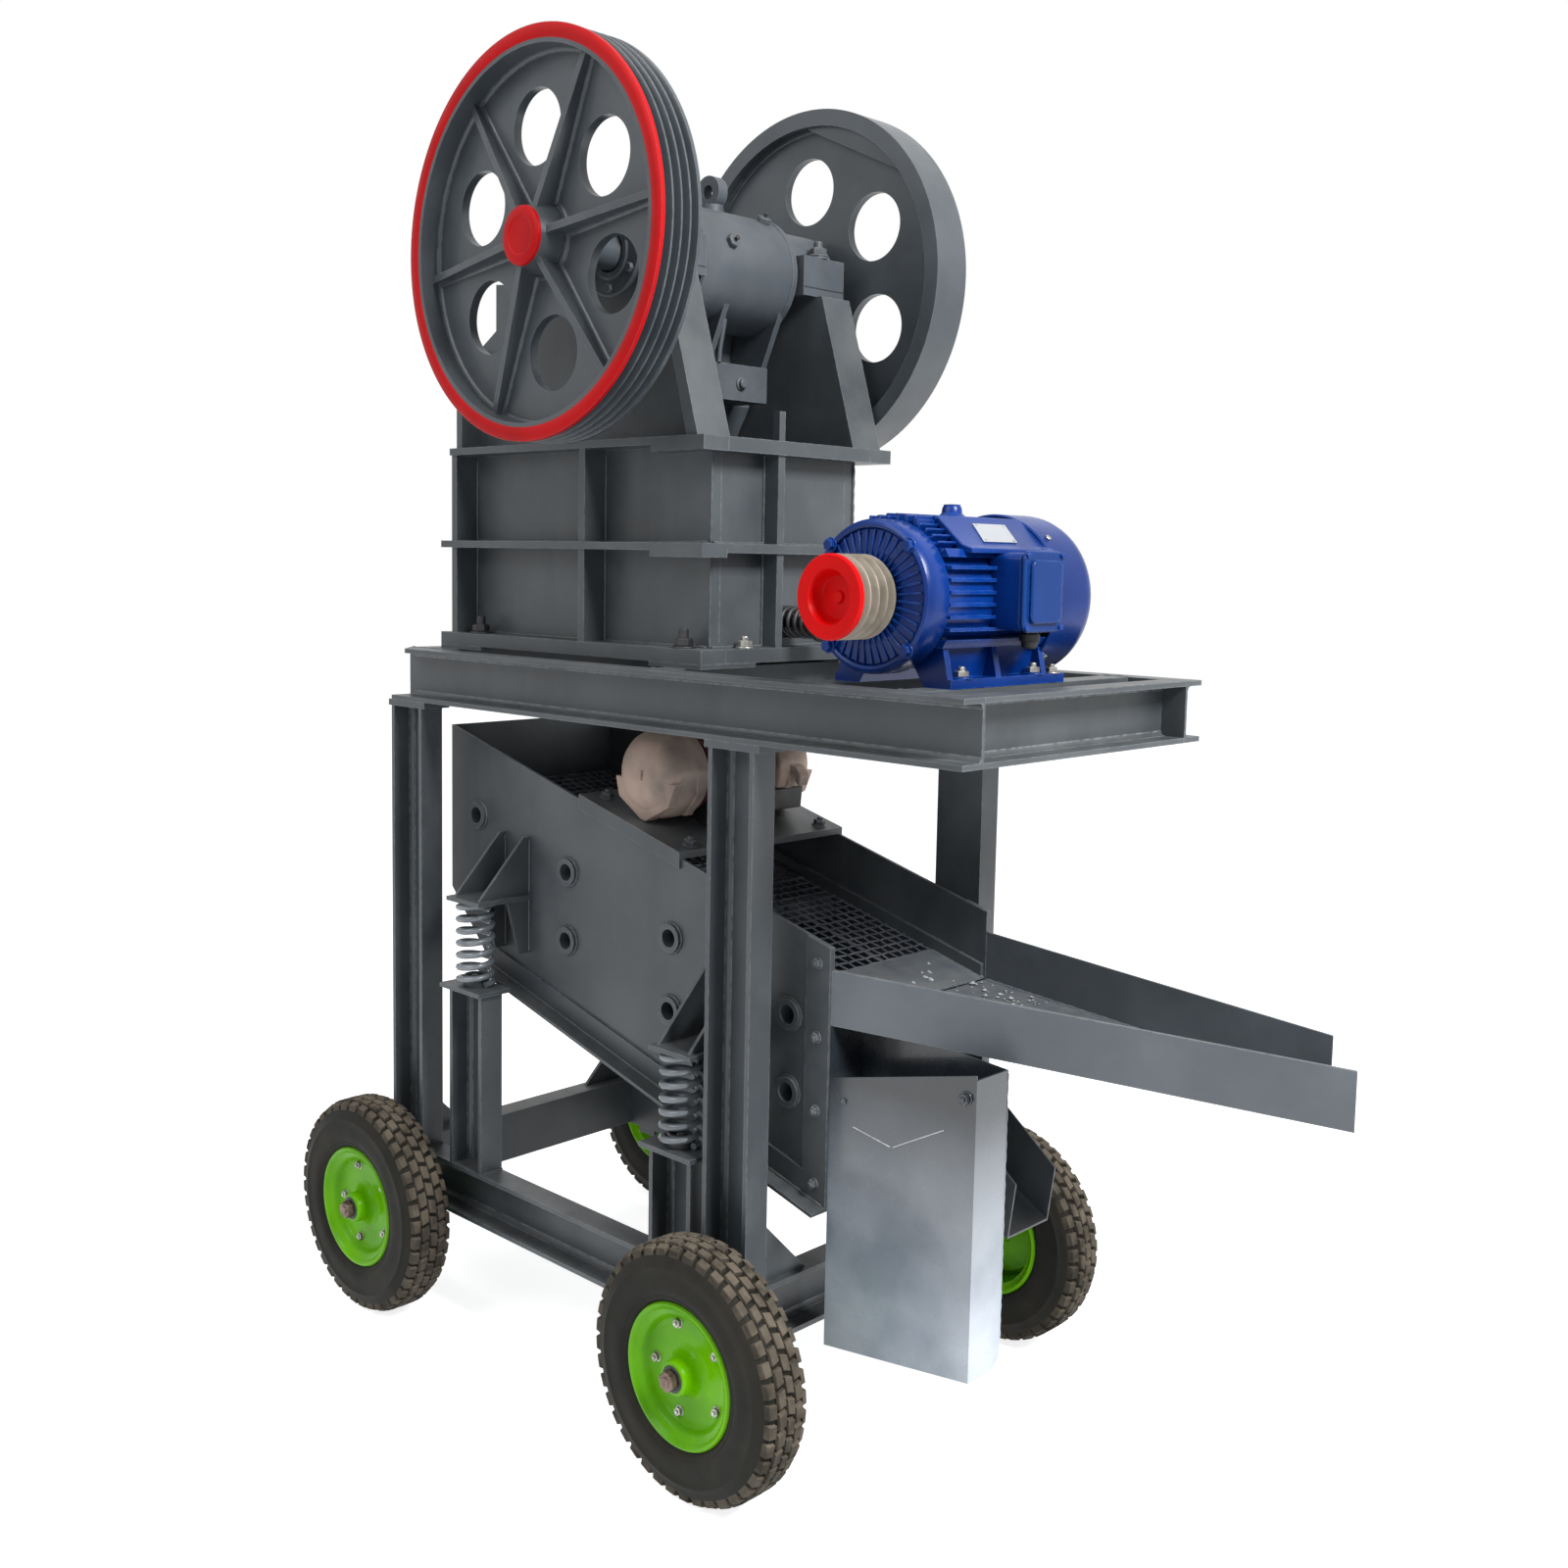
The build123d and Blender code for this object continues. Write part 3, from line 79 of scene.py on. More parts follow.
class Body(Enum):
    """The moving bodies of the set."""

    CHASSIS = "chassis"
    FLYWHEELS = "flywheel_shaft"
    JAW = "swing_jaw"
    ROTOR = "motor_rotor"
    SCREEN = "screen_box"
    NEAR_LEFT = "near_left_wheel"
    NEAR_RIGHT = "near_right_wheel"
    FAR_LEFT = "far_left_wheel"
    FAR_RIGHT = "far_right_wheel"


class Slot(Enum):
    """The record's material slots, passed along with the added pieces."""

    FRAME = "frame_paint"
    PULLEY = "pulley_paint"
    MOTOR = "motor_paint"
    RIM = "rim_paint"
    TYRE = "tyre_rubber"
    VIBRATOR = "vibrator_paint"
    SPRING = "spring_paint"
    WIRE = "screen_wire"
    STEEL = "bare_steel"


def srgb(red: int, green: int, blue: int) -> Colour:
    """Turns an 8-bit display colour into linear values.

    Args:
        red: Red from 0 to 255.
        green: Green from 0 to 255.
        blue: Blue from 0 to 255.

    Returns:
        The linear colour.
    """
    shares = [channel / 255 for channel in (red, green, blue)]
    return tuple(share / 12.92 if share <= 0.04 else ((share + 0.055) / 1.055) ** 2.4 for share in shares)


class Layers:
    """The nodes of one material, laid over each other from the ground colour up."""

    def __init__(self, tree: bpy.types.NodeTree) -> None:
        """Starts from a tree's shader.

        Args:
            tree: The material's node tree.
        """
        self.nodes = tree.nodes
        self.links = tree.links
        self.shader = tree.nodes["Principled BSDF"]
        self.place = self.nodes.new("ShaderNodeTexCoord").outputs["Object"]

    def noise(self, scale: float, detail: float, stretch: Point = (1.0, 1.0, 1.0)) -> bpy.types.NodeSocket:
        """Adds a noise pattern.

        Args:
            scale: How fine it is.
            detail: How many finer patterns lie on it.
            stretch: A factor on its fineness in each direction.

        Returns:
            The pattern's value.
        """
        mapping = self.nodes.new("ShaderNodeMapping")
        mapping.inputs["Scale"].default_value = stretch
        pattern = self.nodes.new("ShaderNodeTexNoise")
        pattern.inputs["Scale"].default_value = scale
        pattern.inputs["Detail"].default_value = detail
        self.links.new(self.place, mapping.inputs["Vector"])
        self.links.new(mapping.outputs["Vector"], pattern.inputs["Vector"])
        return pattern.outputs["Fac"]

    def ramp(self, value: bpy.types.NodeSocket, low: float, high: float, top: float = 1.0,
             bottom: float = 0.0) -> bpy.types.NodeSocket:
        """Stretches a value between two limits.

        Args:
            value: The value.
            low: Where it gives the bottom.
            high: Where it gives the top.
            top: What it gives from there on.
            bottom: What it gives below.

        Returns:
            The stretched value.
        """
        spread = self.nodes.new("ShaderNodeMapRange")
        for name, limit in (("From Min", low), ("From Max", high), ("To Min", bottom), ("To Max", top)):
            spread.inputs[name].default_value = limit
        self.links.new(value, spread.inputs["Value"])
        return spread.outputs["Result"]

    def times(self, first: bpy.types.NodeSocket, second: bpy.types.NodeSocket) -> bpy.types.NodeSocket:
        """Multiplies two values.

        Args:
            first: One value.
            second: The other.

        Returns:
            Their product.
        """
        product = self.nodes.new("ShaderNodeMath")
        product.operation = "MULTIPLY"
        self.links.new(first, product.inputs[0])
        self.links.new(second, product.inputs[1])
        return product.outputs["Value"]

    def blend(self, share: bpy.types.NodeSocket, below: bpy.types.NodeSocket | Colour,
              above: Colour) -> bpy.types.NodeSocket:
        """Lays a colour over another.

        Args:
            share: How much of the upper colour shows.
            below: The lower colour.
            above: The upper colour.

        Returns:
            The mixed colour.
        """
        mix = self.nodes.new("ShaderNodeMix")
        mix.data_type = "RGBA"
        self.links.new(share, mix.inputs["Factor"])
        if isinstance(below, tuple):
            mix.inputs["A"].default_value = (*below, 1.0)
        else:
            self.links.new(below, mix.inputs["A"])
        mix.inputs["B"].default_value = (*above, 1.0)
        return mix.outputs["Result"]

    def upward(self, measure: str) -> bpy.types.NodeSocket:
        """Gives the Z of a measure of the surface.

        Args:
            measure: The measure, Normal or Position.

        Returns:
            Its value along world Z.
        """
        surface = self.nodes.new("ShaderNodeNewGeometry")
        parts = self.nodes.new("ShaderNodeSeparateXYZ")
        self.links.new(surface.outputs[measure], parts.inputs["Vector"])
        return parts.outputs["Z"]

    def flatness(self, size: float) -> bpy.types.NodeSocket:
        """Compares the normal with the one of a rounded edge.

        Args:
            size: The rounding's radius in metres.

        Returns:
            1 on flat faces and less beside an edge.
        """
        rounding = self.nodes.new("ShaderNodeBevel")
        rounding.samples = 3
        rounding.inputs["Radius"].default_value = size
        surface = self.nodes.new("ShaderNodeNewGeometry")
        likeness = self.nodes.new("ShaderNodeVectorMath")
        likeness.operation = "DOT_PRODUCT"
        self.links.new(rounding.outputs["Normal"], likeness.inputs[0])
        self.links.new(surface.outputs["Normal"], likeness.inputs[1])
        return likeness.outputs["Value"]

    def bump(self, pattern: bpy.types.NodeSocket, strength: float, distance: float,
             below: bpy.types.NodeSocket | None = None) -> bpy.types.NodeSocket:
        """Raises the surface by a pattern.

        Args:
            pattern: The pattern.
            strength: How strongly it shows.
            distance: Its height in metres.
            below: The normal of another relief that it lies on.

        Returns:
            The raised surface's normal.
        """
        relief = self.nodes.new("ShaderNodeBump")
        relief.inputs["Strength"].default_value = strength
        relief.inputs["Distance"].default_value = distance
        self.links.new(pattern, relief.inputs["Height"])
        if below is not None:
            self.links.new(below, relief.inputs["Normal"])
        return relief.outputs["Normal"]


@dataclass(frozen=True)
class Finish:
    """A surface finish made of layered noise, edge wear with a painted edge highlight, dust and a painted
    shade that darkens it with height.
    """

    name: str
    colour: Colour
    second: Colour
    roughness: float = 0.5
    metallic: float = 0.0
    patch_scale: float = 6.0
    patch_low: float = 0.42
    patch_high: float = 0.68
    # edge: a lighter colour along edges, partly wear and partly a painted edge highlight.
    edge: Colour | None = None
    edge_size: float = 0.003
    edge_strength: float = 0.6
    dust: Colour | None = None
    dust_amount: float = 0.0
    grain_scale: float = 260.0
    grain: float = 0.06
    dent_scale: float = 14.0
    dent: float = 0.0
    coat: float = 0.0
    shine: float = 0.5
    streak: Colour | None = None
    streak_amount: float = 0.0
    # high: a painted shade, a dark colour laid over the paint from one height up to another.
    high: Colour | None = None
    painted_shade_from: float = 0.0
    painted_shade_to: float = 1.0

    def material(self) -> bpy.types.Material:
        """Gives the finish's material and builds it on first use.

        Returns:
            The Blender material of this finish.
        """
        known = bpy.data.materials.get(self.name)
        if known is not None:
            return known
        made = bpy.data.materials.new(self.name)
        made.use_nodes = True
        made.diffuse_color = (*self.colour, 1.0)
        self._wire(Layers(made.node_tree))
        return made

    def _wire(self, layers: Layers) -> None:
        """Sets the shader and joins the layers of colour, roughness and relief to it.

        Args:
            layers: The material's nodes.
        """
        inputs = layers.shader.inputs
        inputs["Metallic"].default_value = self.metallic
        inputs["Coat Weight"].default_value = self.coat
        inputs["Coat Roughness"].default_value = 0.12
        inputs["Specular IOR Level"].default_value = self.shine
        smooth, rough = max(0.05, self.roughness - 0.09), min(1.0, self.roughness + 0.12)
        roughness = layers.ramp(layers.noise(scale=24.0, detail=4.0), 0.0, 1.0, top=rough, bottom=smooth)
        layers.links.new(self._colour(layers), inputs["Base Color"])
        layers.links.new(roughness, inputs["Roughness"])
        layers.links.new(self._relief(layers), inputs["Normal"])

    def _colour(self, layers: Layers) -> bpy.types.NodeSocket:
        """Lays patches, streaks, dust, worn edges with a painted highlight, and a painted shade higher up
        over the paint.

        Args:
            layers: The material's nodes.

        Returns:
            The finished colour.
        """
        patches = layers.noise(self.patch_scale, detail=6.0)
        colour = layers.blend(layers.ramp(patches, self.patch_low, self.patch_high), self.colour, self.second)
        if self.streak is not None:
            runs = layers.noise(scale=9.0, detail=5.0, stretch=(1.0, 1.0, 0.12))
            colour = layers.blend(layers.ramp(runs, 0.52, 0.72, self.streak_amount), colour, self.streak)
        if self.dust is not None:
            lying = layers.ramp(layers.upward("Normal"), -0.2, 1.0, self.dust_amount)
            cover = layers.ramp(layers.noise(scale=34.0, detail=8.0), 0.3, 0.62)
            colour = layers.blend(layers.times(lying, cover), colour, self.dust)
        # Lighter edges in patches: partly wear, partly a painted highlight.
        if self.edge is not None:
            sharp = layers.ramp(layers.flatness(self.edge_size), 0.97, 0.82, self.edge_strength)
            cover = layers.ramp(layers.noise(scale=70.0, detail=4.0), 0.34, 0.6)
            colour = layers.blend(layers.times(sharp, cover), colour, self.edge)
        # Painted shade: with height the colour turns to the dark high colour, standing in for shadow.
        if self.high is not None:
            rise = layers.ramp(layers.upward("Position"), self.painted_shade_from, self.painted_shade_to)
            colour = layers.blend(rise, colour, self.high)
        return colour

    def _relief(self, layers: Layers) -> bpy.types.NodeSocket:
        """Lays the paint's fine grain over its soft dents.

        Args:
            layers: The material's nodes.

        Returns:
            The surface's normal.
        """
        dents = None
        if self.dent:
            dents = layers.bump(layers.noise(self.dent_scale, detail=2.0), self.dent, distance=0.01)
        grain = layers.noise(self.grain_scale, detail=3.0)
        return layers.bump(grain, self.grain, distance=0.002, below=dents)


# Each edge colour below is a lighter tint of its paint: wear and a painted edge highlight.
GREY = Finish(
    "grey_frame_paint", srgb(60, 65, 69), srgb(74, 79, 83), roughness=0.42, edge=srgb(140, 146, 150),
    dust=srgb(110, 106, 98), dust_amount=0.26, dent=0.06, streak=srgb(50, 56, 61), streak_amount=0.6,
)
WHEEL_GREY = Finish(
    "flywheel_grey_paint", srgb(58, 64, 69), srgb(70, 76, 81), roughness=0.38, patch_scale=7.0,
    edge=srgb(116, 122, 127), dust=srgb(100, 98, 92), dust_amount=0.16, grain_scale=220.0, grain=0.09,
    coat=0.12,
)
CAST_GREY = Finish(
    "cast_grey_paint", srgb(60, 66, 72), srgb(72, 78, 84), roughness=0.52, patch_scale=9.0,
    edge=srgb(120, 126, 130), dust=srgb(105, 100, 92), dust_amount=0.2, grain_scale=180.0, grain=0.16,
)
# Darker grey for the eccentric shaft: painted shade for the shadow the shaft lies in inside its housings.
SHAFT_SHADE_GREY = Finish(
    "shaft_painted_shade_grey", srgb(56, 62, 68), srgb(74, 80, 85), roughness=0.42, edge=srgb(96, 102, 106),
    grain=0.08,
)
RED = Finish(
    "flywheel_red_paint", srgb(184, 8, 14), srgb(160, 6, 11), roughness=0.42, edge=srgb(196, 44, 42),
    edge_strength=0.3, grain=0.05, shine=0.14,
)
PULLEY_RED = Finish(
    "pulley_red_paint", srgb(216, 4, 6), srgb(196, 3, 5), roughness=0.4, grain=0.05, shine=0.14,
)
PULLEY_BARE = Finish(
    "pulley_bare_iron", srgb(140, 132, 120), srgb(112, 104, 92), roughness=0.55, metallic=0.35,
    patch_scale=22.0, grain_scale=320.0, grain=0.1,
)
BLUE = Finish(
    "motor_blue_paint", srgb(4, 46, 118), srgb(2, 34, 94), roughness=0.26, edge=srgb(58, 108, 196),
    edge_strength=0.5, grain_scale=200.0, grain=0.05, shine=0.2, coat=0.06, dust=srgb(40, 74, 128),
    dust_amount=0.08,
)
BLUE_LID = Finish(
    "terminal_lid_paint", srgb(4, 46, 106), srgb(3, 38, 92), roughness=0.28, edge=srgb(60, 106, 186),
    edge_strength=0.5, grain_scale=200.0, grain=0.05, shine=0.2, coat=0.06,
)
GREEN = Finish(
    "rim_green_paint", srgb(112, 186, 0), srgb(86, 156, 0), roughness=0.26, grain=0.04, shine=0.12, coat=0.05,
    dust=srgb(84, 120, 10), dust_amount=0.06,
)
TYRE = Finish(
    "sidewall_rubber", srgb(25, 25, 22), srgb(36, 34, 29), roughness=0.62, patch_scale=9.0,
    grain_scale=300.0, grain=0.12, shine=0.14, dust=srgb(62, 58, 48), dust_amount=0.25,
)
TREAD = Finish(
    "tread_rubber", srgb(84, 78, 68), srgb(46, 43, 37), roughness=0.85, shine=0.2, patch_scale=26.0,
    patch_low=0.36, patch_high=0.62, grain_scale=300.0, grain=0.2, dust=srgb(124, 112, 98), dust_amount=0.5,
)
# The chute's high colour is painted shade: from 0.3 m up to 0.66 m the paint turns dark, standing in for the
# shadow in its open top under the tray.
CHUTE = Finish(
    "chute_sheet_paint", srgb(150, 160, 171), srgb(182, 190, 200), roughness=0.26, patch_scale=6.5,
    patch_low=0.4, patch_high=0.63, edge=srgb(186, 194, 200), grain=0.05, dent=0.16, dent_scale=8.0, coat=0.4,
    high=srgb(36, 41, 46), painted_shade_from=0.3, painted_shade_to=0.66,
)
TRAY = Finish(
    "tray_paint", srgb(72, 78, 84), srgb(86, 93, 99), roughness=0.44, edge=srgb(138, 144, 148), dent=0.08,
    dust=srgb(120, 118, 112), dust_amount=0.3,
)
SPRING = Finish(
    "coil_paint", srgb(118, 124, 129), srgb(84, 90, 95), roughness=0.34, metallic=0.2, patch_scale=16.0,
    coat=0.3, grain=0.05,
)
WIRE = Finish(
    "woven_wire", srgb(86, 90, 99), srgb(110, 112, 117), roughness=0.5, metallic=0.3, patch_scale=20.0,
    grain=0.05, dust=srgb(88, 88, 90), dust_amount=0.25,
)
STEEL = Finish(
    "zinc_steel", srgb(176, 176, 172), srgb(136, 131, 124), roughness=0.3, metallic=0.85, patch_scale=60.0,
    grain=0.04,
)
RUST = Finish(
    "rusty_steel", srgb(124, 106, 96), srgb(74, 56, 49), roughness=0.42, metallic=0.7, patch_scale=80.0,
    grain=0.25,
)
DARK = Finish(
    "dark_rubber", srgb(24, 25, 28), srgb(38, 38, 40), roughness=0.5, patch_scale=30.0, grain=0.06,
)
DUSTY = Finish(
    "vibrator_dusty_cover", srgb(188, 164, 150), srgb(122, 110, 102), roughness=0.66, patch_scale=9.0,
    edge=srgb(206, 190, 176), dust=srgb(136, 124, 114), dust_amount=0.6, grain=0.14,
)
MAROON = Finish(
    "vibrator_body_paint", srgb(92, 26, 36), srgb(44, 24, 30), roughness=0.5, patch_scale=16.0, grain=0.1,
)
PLATE = Finish(
    "rating_plate", srgb(196, 200, 204), srgb(182, 186, 190), roughness=0.3, metallic=0.7, grain=0.03,
)
STONE = Finish(
    "stone_chips", srgb(160, 162, 164), srgb(118, 120, 123), roughness=0.85, patch_scale=50.0, grain=0.3,
)


class Form:
    """A mesh being built in drawing millimetres, then placed in the set's frame."""

    def __init__(self, name: str) -> None:
        """Starts an empty mesh.

        Args:
            name: The name of the finished piece.
        """
        self.name = name
        self.mesh = bmesh.new()
        self.finishes: list[Finish] = []
        self.current = 0

    def use(self, finish: Finish) -> "Form":
        """Takes a finish for the faces made from here on.

        Args:
            finish: The finish.

        Returns:
            The form itself.
        """
        if finish not in self.finishes:
            self.finishes.append(finish)
        self.current = self.finishes.index(finish)
        return self

    def face(self, corners: Loop) -> None:
        """Adds one face with the finish in use."""
        made = self.mesh.faces.new(corners)
        made.material_index = self.current

    def loop(self, points: list[Vector]) -> Loop:
        """Adds the points as vertices."""
        return [self.mesh.verts.new(point) for point in points]

    def ring(self, middle: Vector, side: Vector, up: Vector, radius: float, corners: int) -> Loop:
        """Adds the corners of a circle.

        Args:
            middle: The circle's middle.
            side: The unit direction to its first corner.
            up: The unit direction a quarter turn on.
            radius: Its radius.
            corners: The number of its corners.

        Returns:
            The corners.
        """
        turns = (2 * math.pi * k / corners for k in range(corners))
        return self.loop([middle + (side * math.cos(turn) + up * math.sin(turn)) * radius for turn in turns])

    def bridge(self, first: Loop, second: Loop) -> None:
        """Joins two closed loops of the same length with faces, or a loop and a tip of one vertex.

        Args:
            first: One loop or tip.
            second: The other.
        """
        count = max(len(first), len(second))
        for i in range(count if count > 1 else 0):
            j = (i + 1) % count
            corners = [first[i], first[j]] if len(first) > 1 else list(first)
            corners += [second[j], second[i]] if len(second) > 1 else second
            self.face(corners)

    def skin(self, loops: list[Loop]) -> None:
        """Joins the loops in a row and closes both ends.

        Args:
            loops: The loops, each as long as the next.
        """
        for first, second in zip(loops, loops[1:]):
            self.bridge(first, second)
        self.face(loops[0])
        self.face(loops[-1])

    def turned(self, profile: Profile, centre: Point, line: Line = Line.Y, steps: int = 96) -> "Form":
        """Turns a closed profile about a line.

        Args:
            profile: Points as (radius, place along the line), walked round.
            centre: A point on the line; its own place along it is added.
            line: The direction of the line.
            steps: Corners of the full turn.

        Returns:
            The form itself.
        """
        loops = []
        for radius, along in profile:
            points = [self.spun(centre, line, radius, 2 * math.pi * i / steps, along) for i in range(steps)]
            loops.append(self.loop(points if radius > 0 else points[:1]))
        for first, second in zip(loops, loops[1:] + loops[:1]):
            self.bridge(first, second)
        return self

    @staticmethod
    def laid(line: Line, first: float, second: float, along: float) -> Vector:
        """Gives a point.

        Args:
            line: The direction that along counts in.
            first: Its place in the first of the other directions.
            second: Its place in the second of them.
            along: Its place along the line.

        Returns:
            The point.
        """
        places = [first, second]
        places.insert(line.value, along)
        return Vector(places)

    @staticmethod
    def spun(centre: Point, line: Line, radius: float, angle: float, along: float) -> Vector:
        """Gives a point at a radius, an angle and a place along a line."""
        return Vector(centre) + Form.laid(line, radius * math.cos(angle), radius * math.sin(angle), along)

    def prism(self, outline: Profile, low: float, high: float, line: Line = Line.Y) -> "Form":
        """Draws a flat outline out along a line.

        Args:
            outline: Points in the two other directions, in X, Y, Z order.
            low: Where the prism begins along the line.
            high: Where it ends.
            line: The direction it is drawn out along.

        Returns:
            The form itself.
        """
        self.skin([self.loop([self.laid(line, a, b, along) for a, b in outline]) for along in (low, high)])
        return self

    def drawn(self, section: list[Vector], run: Vector) -> "Form":
        """Draws a flat section in space out along a run.

        Args:
            section: The section's corners, walked round.
            run: How far and which way it is drawn.

        Returns:
            The form itself.
        """
        self.skin([self.loop(section), self.loop([point + run for point in section])])
        return self

    def fin(self, start: Vector, along: Vector, deep: Vector, across: Vector) -> "Form":
        """Adds a flat rib from its first corner and its three edges."""
        return self.drawn([start, start + along, start + along + deep, start + deep], across)

    def block(self, low: Point, high: Point) -> "Form":
        """Adds a bar between two corners."""
        outline = [(low[0], low[2]), (high[0], low[2]), (high[0], high[2]), (low[0], high[2])]
        return self.prism(outline, low[1], high[1])

    def tube(self, path: list[Vector], radius: float, sides: int = 10, closed: bool = False,
             swell: list[float] | None = None) -> "Form":
        """Sweeps a circle along a path.

        Args:
            path: The points of the middle line.
            radius: The circle's radius.
            sides: Corners of the circle.
            closed: Whether the path returns to its start.
            swell: A factor on the radius at each point.

        Returns:
            The form itself.
        """
        loops = []
        count = len(path)
        side = None
        for i, point in enumerate(path):
            before = path[(i - 1) % count] if closed or i else point
            after = path[(i + 1) % count] if closed or i < count - 1 else point
            heading = (after - before).normalized()
            if side is None:
                side = heading.orthogonal().normalized()
            side = (side - heading * side.dot(heading)).normalized()
            size = radius * (swell[i] if swell else 1.0)
            loops.append(self.ring(point, side, heading.cross(side), size, sides))
        if not closed:
            self.skin(loops)
            return self
        last, first = loops[-1], loops[0]
        shift = min(range(sides), key=lambda k: (last[0].co - first[k].co).length)
        for one, other in zip(loops, [*loops[1:], first[shift:] + first[:shift]]):
            self.bridge(one, other)
        return self

    def stack(self, seat: Vector, heading: Vector, levels: Profile, corners: int) -> None:
        """Adds a closed stack of rings.

        Args:
            seat: The middle of its foot.
            heading: The unit direction it stands in.
            levels: Each ring's radius and its height over the seat.
            corners: Corners of each ring.
        """
        side = heading.orthogonal().normalized()
        up = heading.cross(side)
        rings = [self.ring(seat + heading * height, side, up, radius, corners) for radius, height in levels]
        self.skin(rings)

    def bolt(self, seat: Point, out: Point, size: float, washer: bool = True, stub: float = 0.5) -> "Form":
        """Adds a hexagon nut with its washer and thread end.

        Args:
            seat: Where the nut stands.
            out: The direction it points.
            size: The thread's diameter.
            washer: Whether a washer lies under it.
            stub: How far the thread stands out, in thread diameters.

        Returns:
            The form itself.
        """
        foot, heading = Vector(seat), Vector(out).normalized()
        base = 0.0
        if washer:
            base = size * 0.2
            disc = [(size * 1.15, 0.0), (size * 1.15, size * 0.14), (size * 1.08, base)]
            self.stack(foot, heading, disc, 20)
        top = base + size * 0.76
        nut = [(size * 0.86, base), (size * 0.93, base + size * 0.08), (size * 0.93, base + size * 0.62),
               (size * 0.8, top)]
        self.stack(foot, heading, nut, 6)
        if stub > 0:
            thread = [(size * 0.48, top - 1), (size * 0.48, top + size * stub * 0.85),
                      (size * 0.38, top + size * stub)]
            self.stack(foot, heading, thread, 12)
        return self

    def weld(self, start: Point, end: Point, size: float = 4.0) -> "Form":
        """Lays a rippled bead from one point to another.

        Args:
            start: Where it begins.
            end: Where it ends.
            size: Its mean radius.

        Returns:
            The form itself.
        """
        first, last = Vector(start), Vector(end)
        count = max(4, int((last - first).length / 7))
        path = [first.lerp(last, i / count) for i in range(count + 1)]
        swell = [0.86 + 0.16 * math.sin(i * 2.1) + 0.08 * math.sin(i * 0.77 + 1.3) for i in range(count + 1)]
        return self.tube(path, size, 6, swell=swell)

    def done(self, body: Body | None, slot: Slot, replaces: tuple[str, ...] = (), bevel: float = 0.0,
             angle: float = 32.0, segments: int = 2) -> bpy.types.Object:
        """Finishes the mesh as a piece of the set.

        Args:
            body: The body the piece rides on, or None, which leaves the piece unattached.
            slot: The record's material slot; not used.
            replaces: CAD nodes that the piece stands for.
            bevel: Width of the rounded edges, in millimetres.
            angle: Edges sharper than this stay crisp, in degrees.
            segments: Steps of the rounded edges.

        Returns:
            The finished object.
        """
        self.mesh.transform(Matrix.Diagonal((MM, MM, MM, 1.0)) @ Matrix.Translation(-ORIGIN))
        bmesh.ops.recalc_face_normals(self.mesh, faces=self.mesh.faces)
        data = bpy.data.meshes.new(self.name)
        self.mesh.to_mesh(data)
        self.mesh.free()
        for finish in self.finishes:
            data.materials.append(finish.material())
        piece = bpy.data.objects.new(self.name, data)
        bpy.context.scene.collection.objects.link(piece)
        if bevel:
            soften(piece, bevel, segments)
        data.shade_smooth()
        data.set_sharp_from_angle(angle=math.radians(angle))
        if body is not None:
            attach(piece, body.value)
        if replaces:
            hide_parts(*replaces)
        log.info("built %s: %d faces", self.name, len(data.polygons))
        return piece


def soften(piece: bpy.types.Object, width: float, segments: int = 2) -> None:
    """Rounds a piece's hard edges.

    Args:
        piece: The object to round.
        width: The width of the rounding in millimetres.
        segments: Steps across the rounding.
    """
    rounding = piece.modifiers.new("rounded_edges", "BEVEL")
    rounding.width = width * MM
    rounding.segments = segments
    rounding.limit_method = "ANGLE"
    rounding.angle_limit = math.radians(40)
    rounding.harden_normals = False


def dress(node: str, finish: Finish, bevel: float) -> None:
    """Gives a CAD node its finish and rounded edges.

    Args:
        node: The node's name.
        finish: The finish of all its faces.
        bevel: Width of the rounded edges in millimetres.
    """
    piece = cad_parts[node]
    piece.data.materials.clear()
    piece.data.materials.append(finish.material())
    soften(piece, bevel)
    log.info("dressed %s with %s", node, finish.name)


def radial(turn: float) -> tuple[Vector, Vector]:
    """Gives the directions away from a crosswise shaft and round it, at an angle in radians."""
    return Vector((math.cos(turn), 0, math.sin(turn))), Vector((-math.sin(turn), 0, math.cos(turn)))


def facing(profile: Profile, face: float, way: float, sunk: float = 0.0) -> Profile:
    """Moves a profile's places along its line onto a face and turns them its way."""
    return [(radius, face + way * (along - sunk)) for radius, along in profile]


def rounded(low: tuple[float, float], high: tuple[float, float], radius: float, steps: int = 4) -> Profile:
    """Gives the outline of a rectangle with rounded corners.

    Args:
        low: The lower corner.
        high: The upper corner.
        radius: The corners' radius.
        steps: Steps of each corner.

    Returns:
        The outline's points, walked round.
    """
    centres = ((high[0] - radius, high[1] - radius), (low[0] + radius, high[1] - radius),
               (low[0] + radius, low[1] + radius), (high[0] - radius, low[1] + radius))
    points = []
    for quarter, (a, b) in enumerate(centres):
        for k in range(steps + 1):
            angle = math.radians(90 * quarter + 90 * k / steps)
            points.append((a + radius * math.cos(angle), b + radius * math.sin(angle)))
    return points


def coil(base: Point, length: float, radius: float, wire: float, turns: float,
         line: Line = Line.Z) -> list[Vector]:
    """Gives the middle line of a compression spring with closed ends.

    Args:
        base: Where the spring stands.
        length: Its height over the wire.
        radius: Radius to the middle of the wire.
        wire: The wire's diameter.
        turns: Number of turns.
        line: The direction it stands along.

    Returns:
        The points of the middle line.
    """
    steps = int(turns * 22)
    points = []
    for i in range(steps + 1):
        share = i / steps
        closed = 0.6 * wire / length
        rise = wire / 2 + (length - wire) * min(1.0, max(0.0, (share - closed) / (1 - 2 * closed)))
        points.append(Form.spun(base, line, radius, 2 * math.pi * turns * share, rise))
    return points


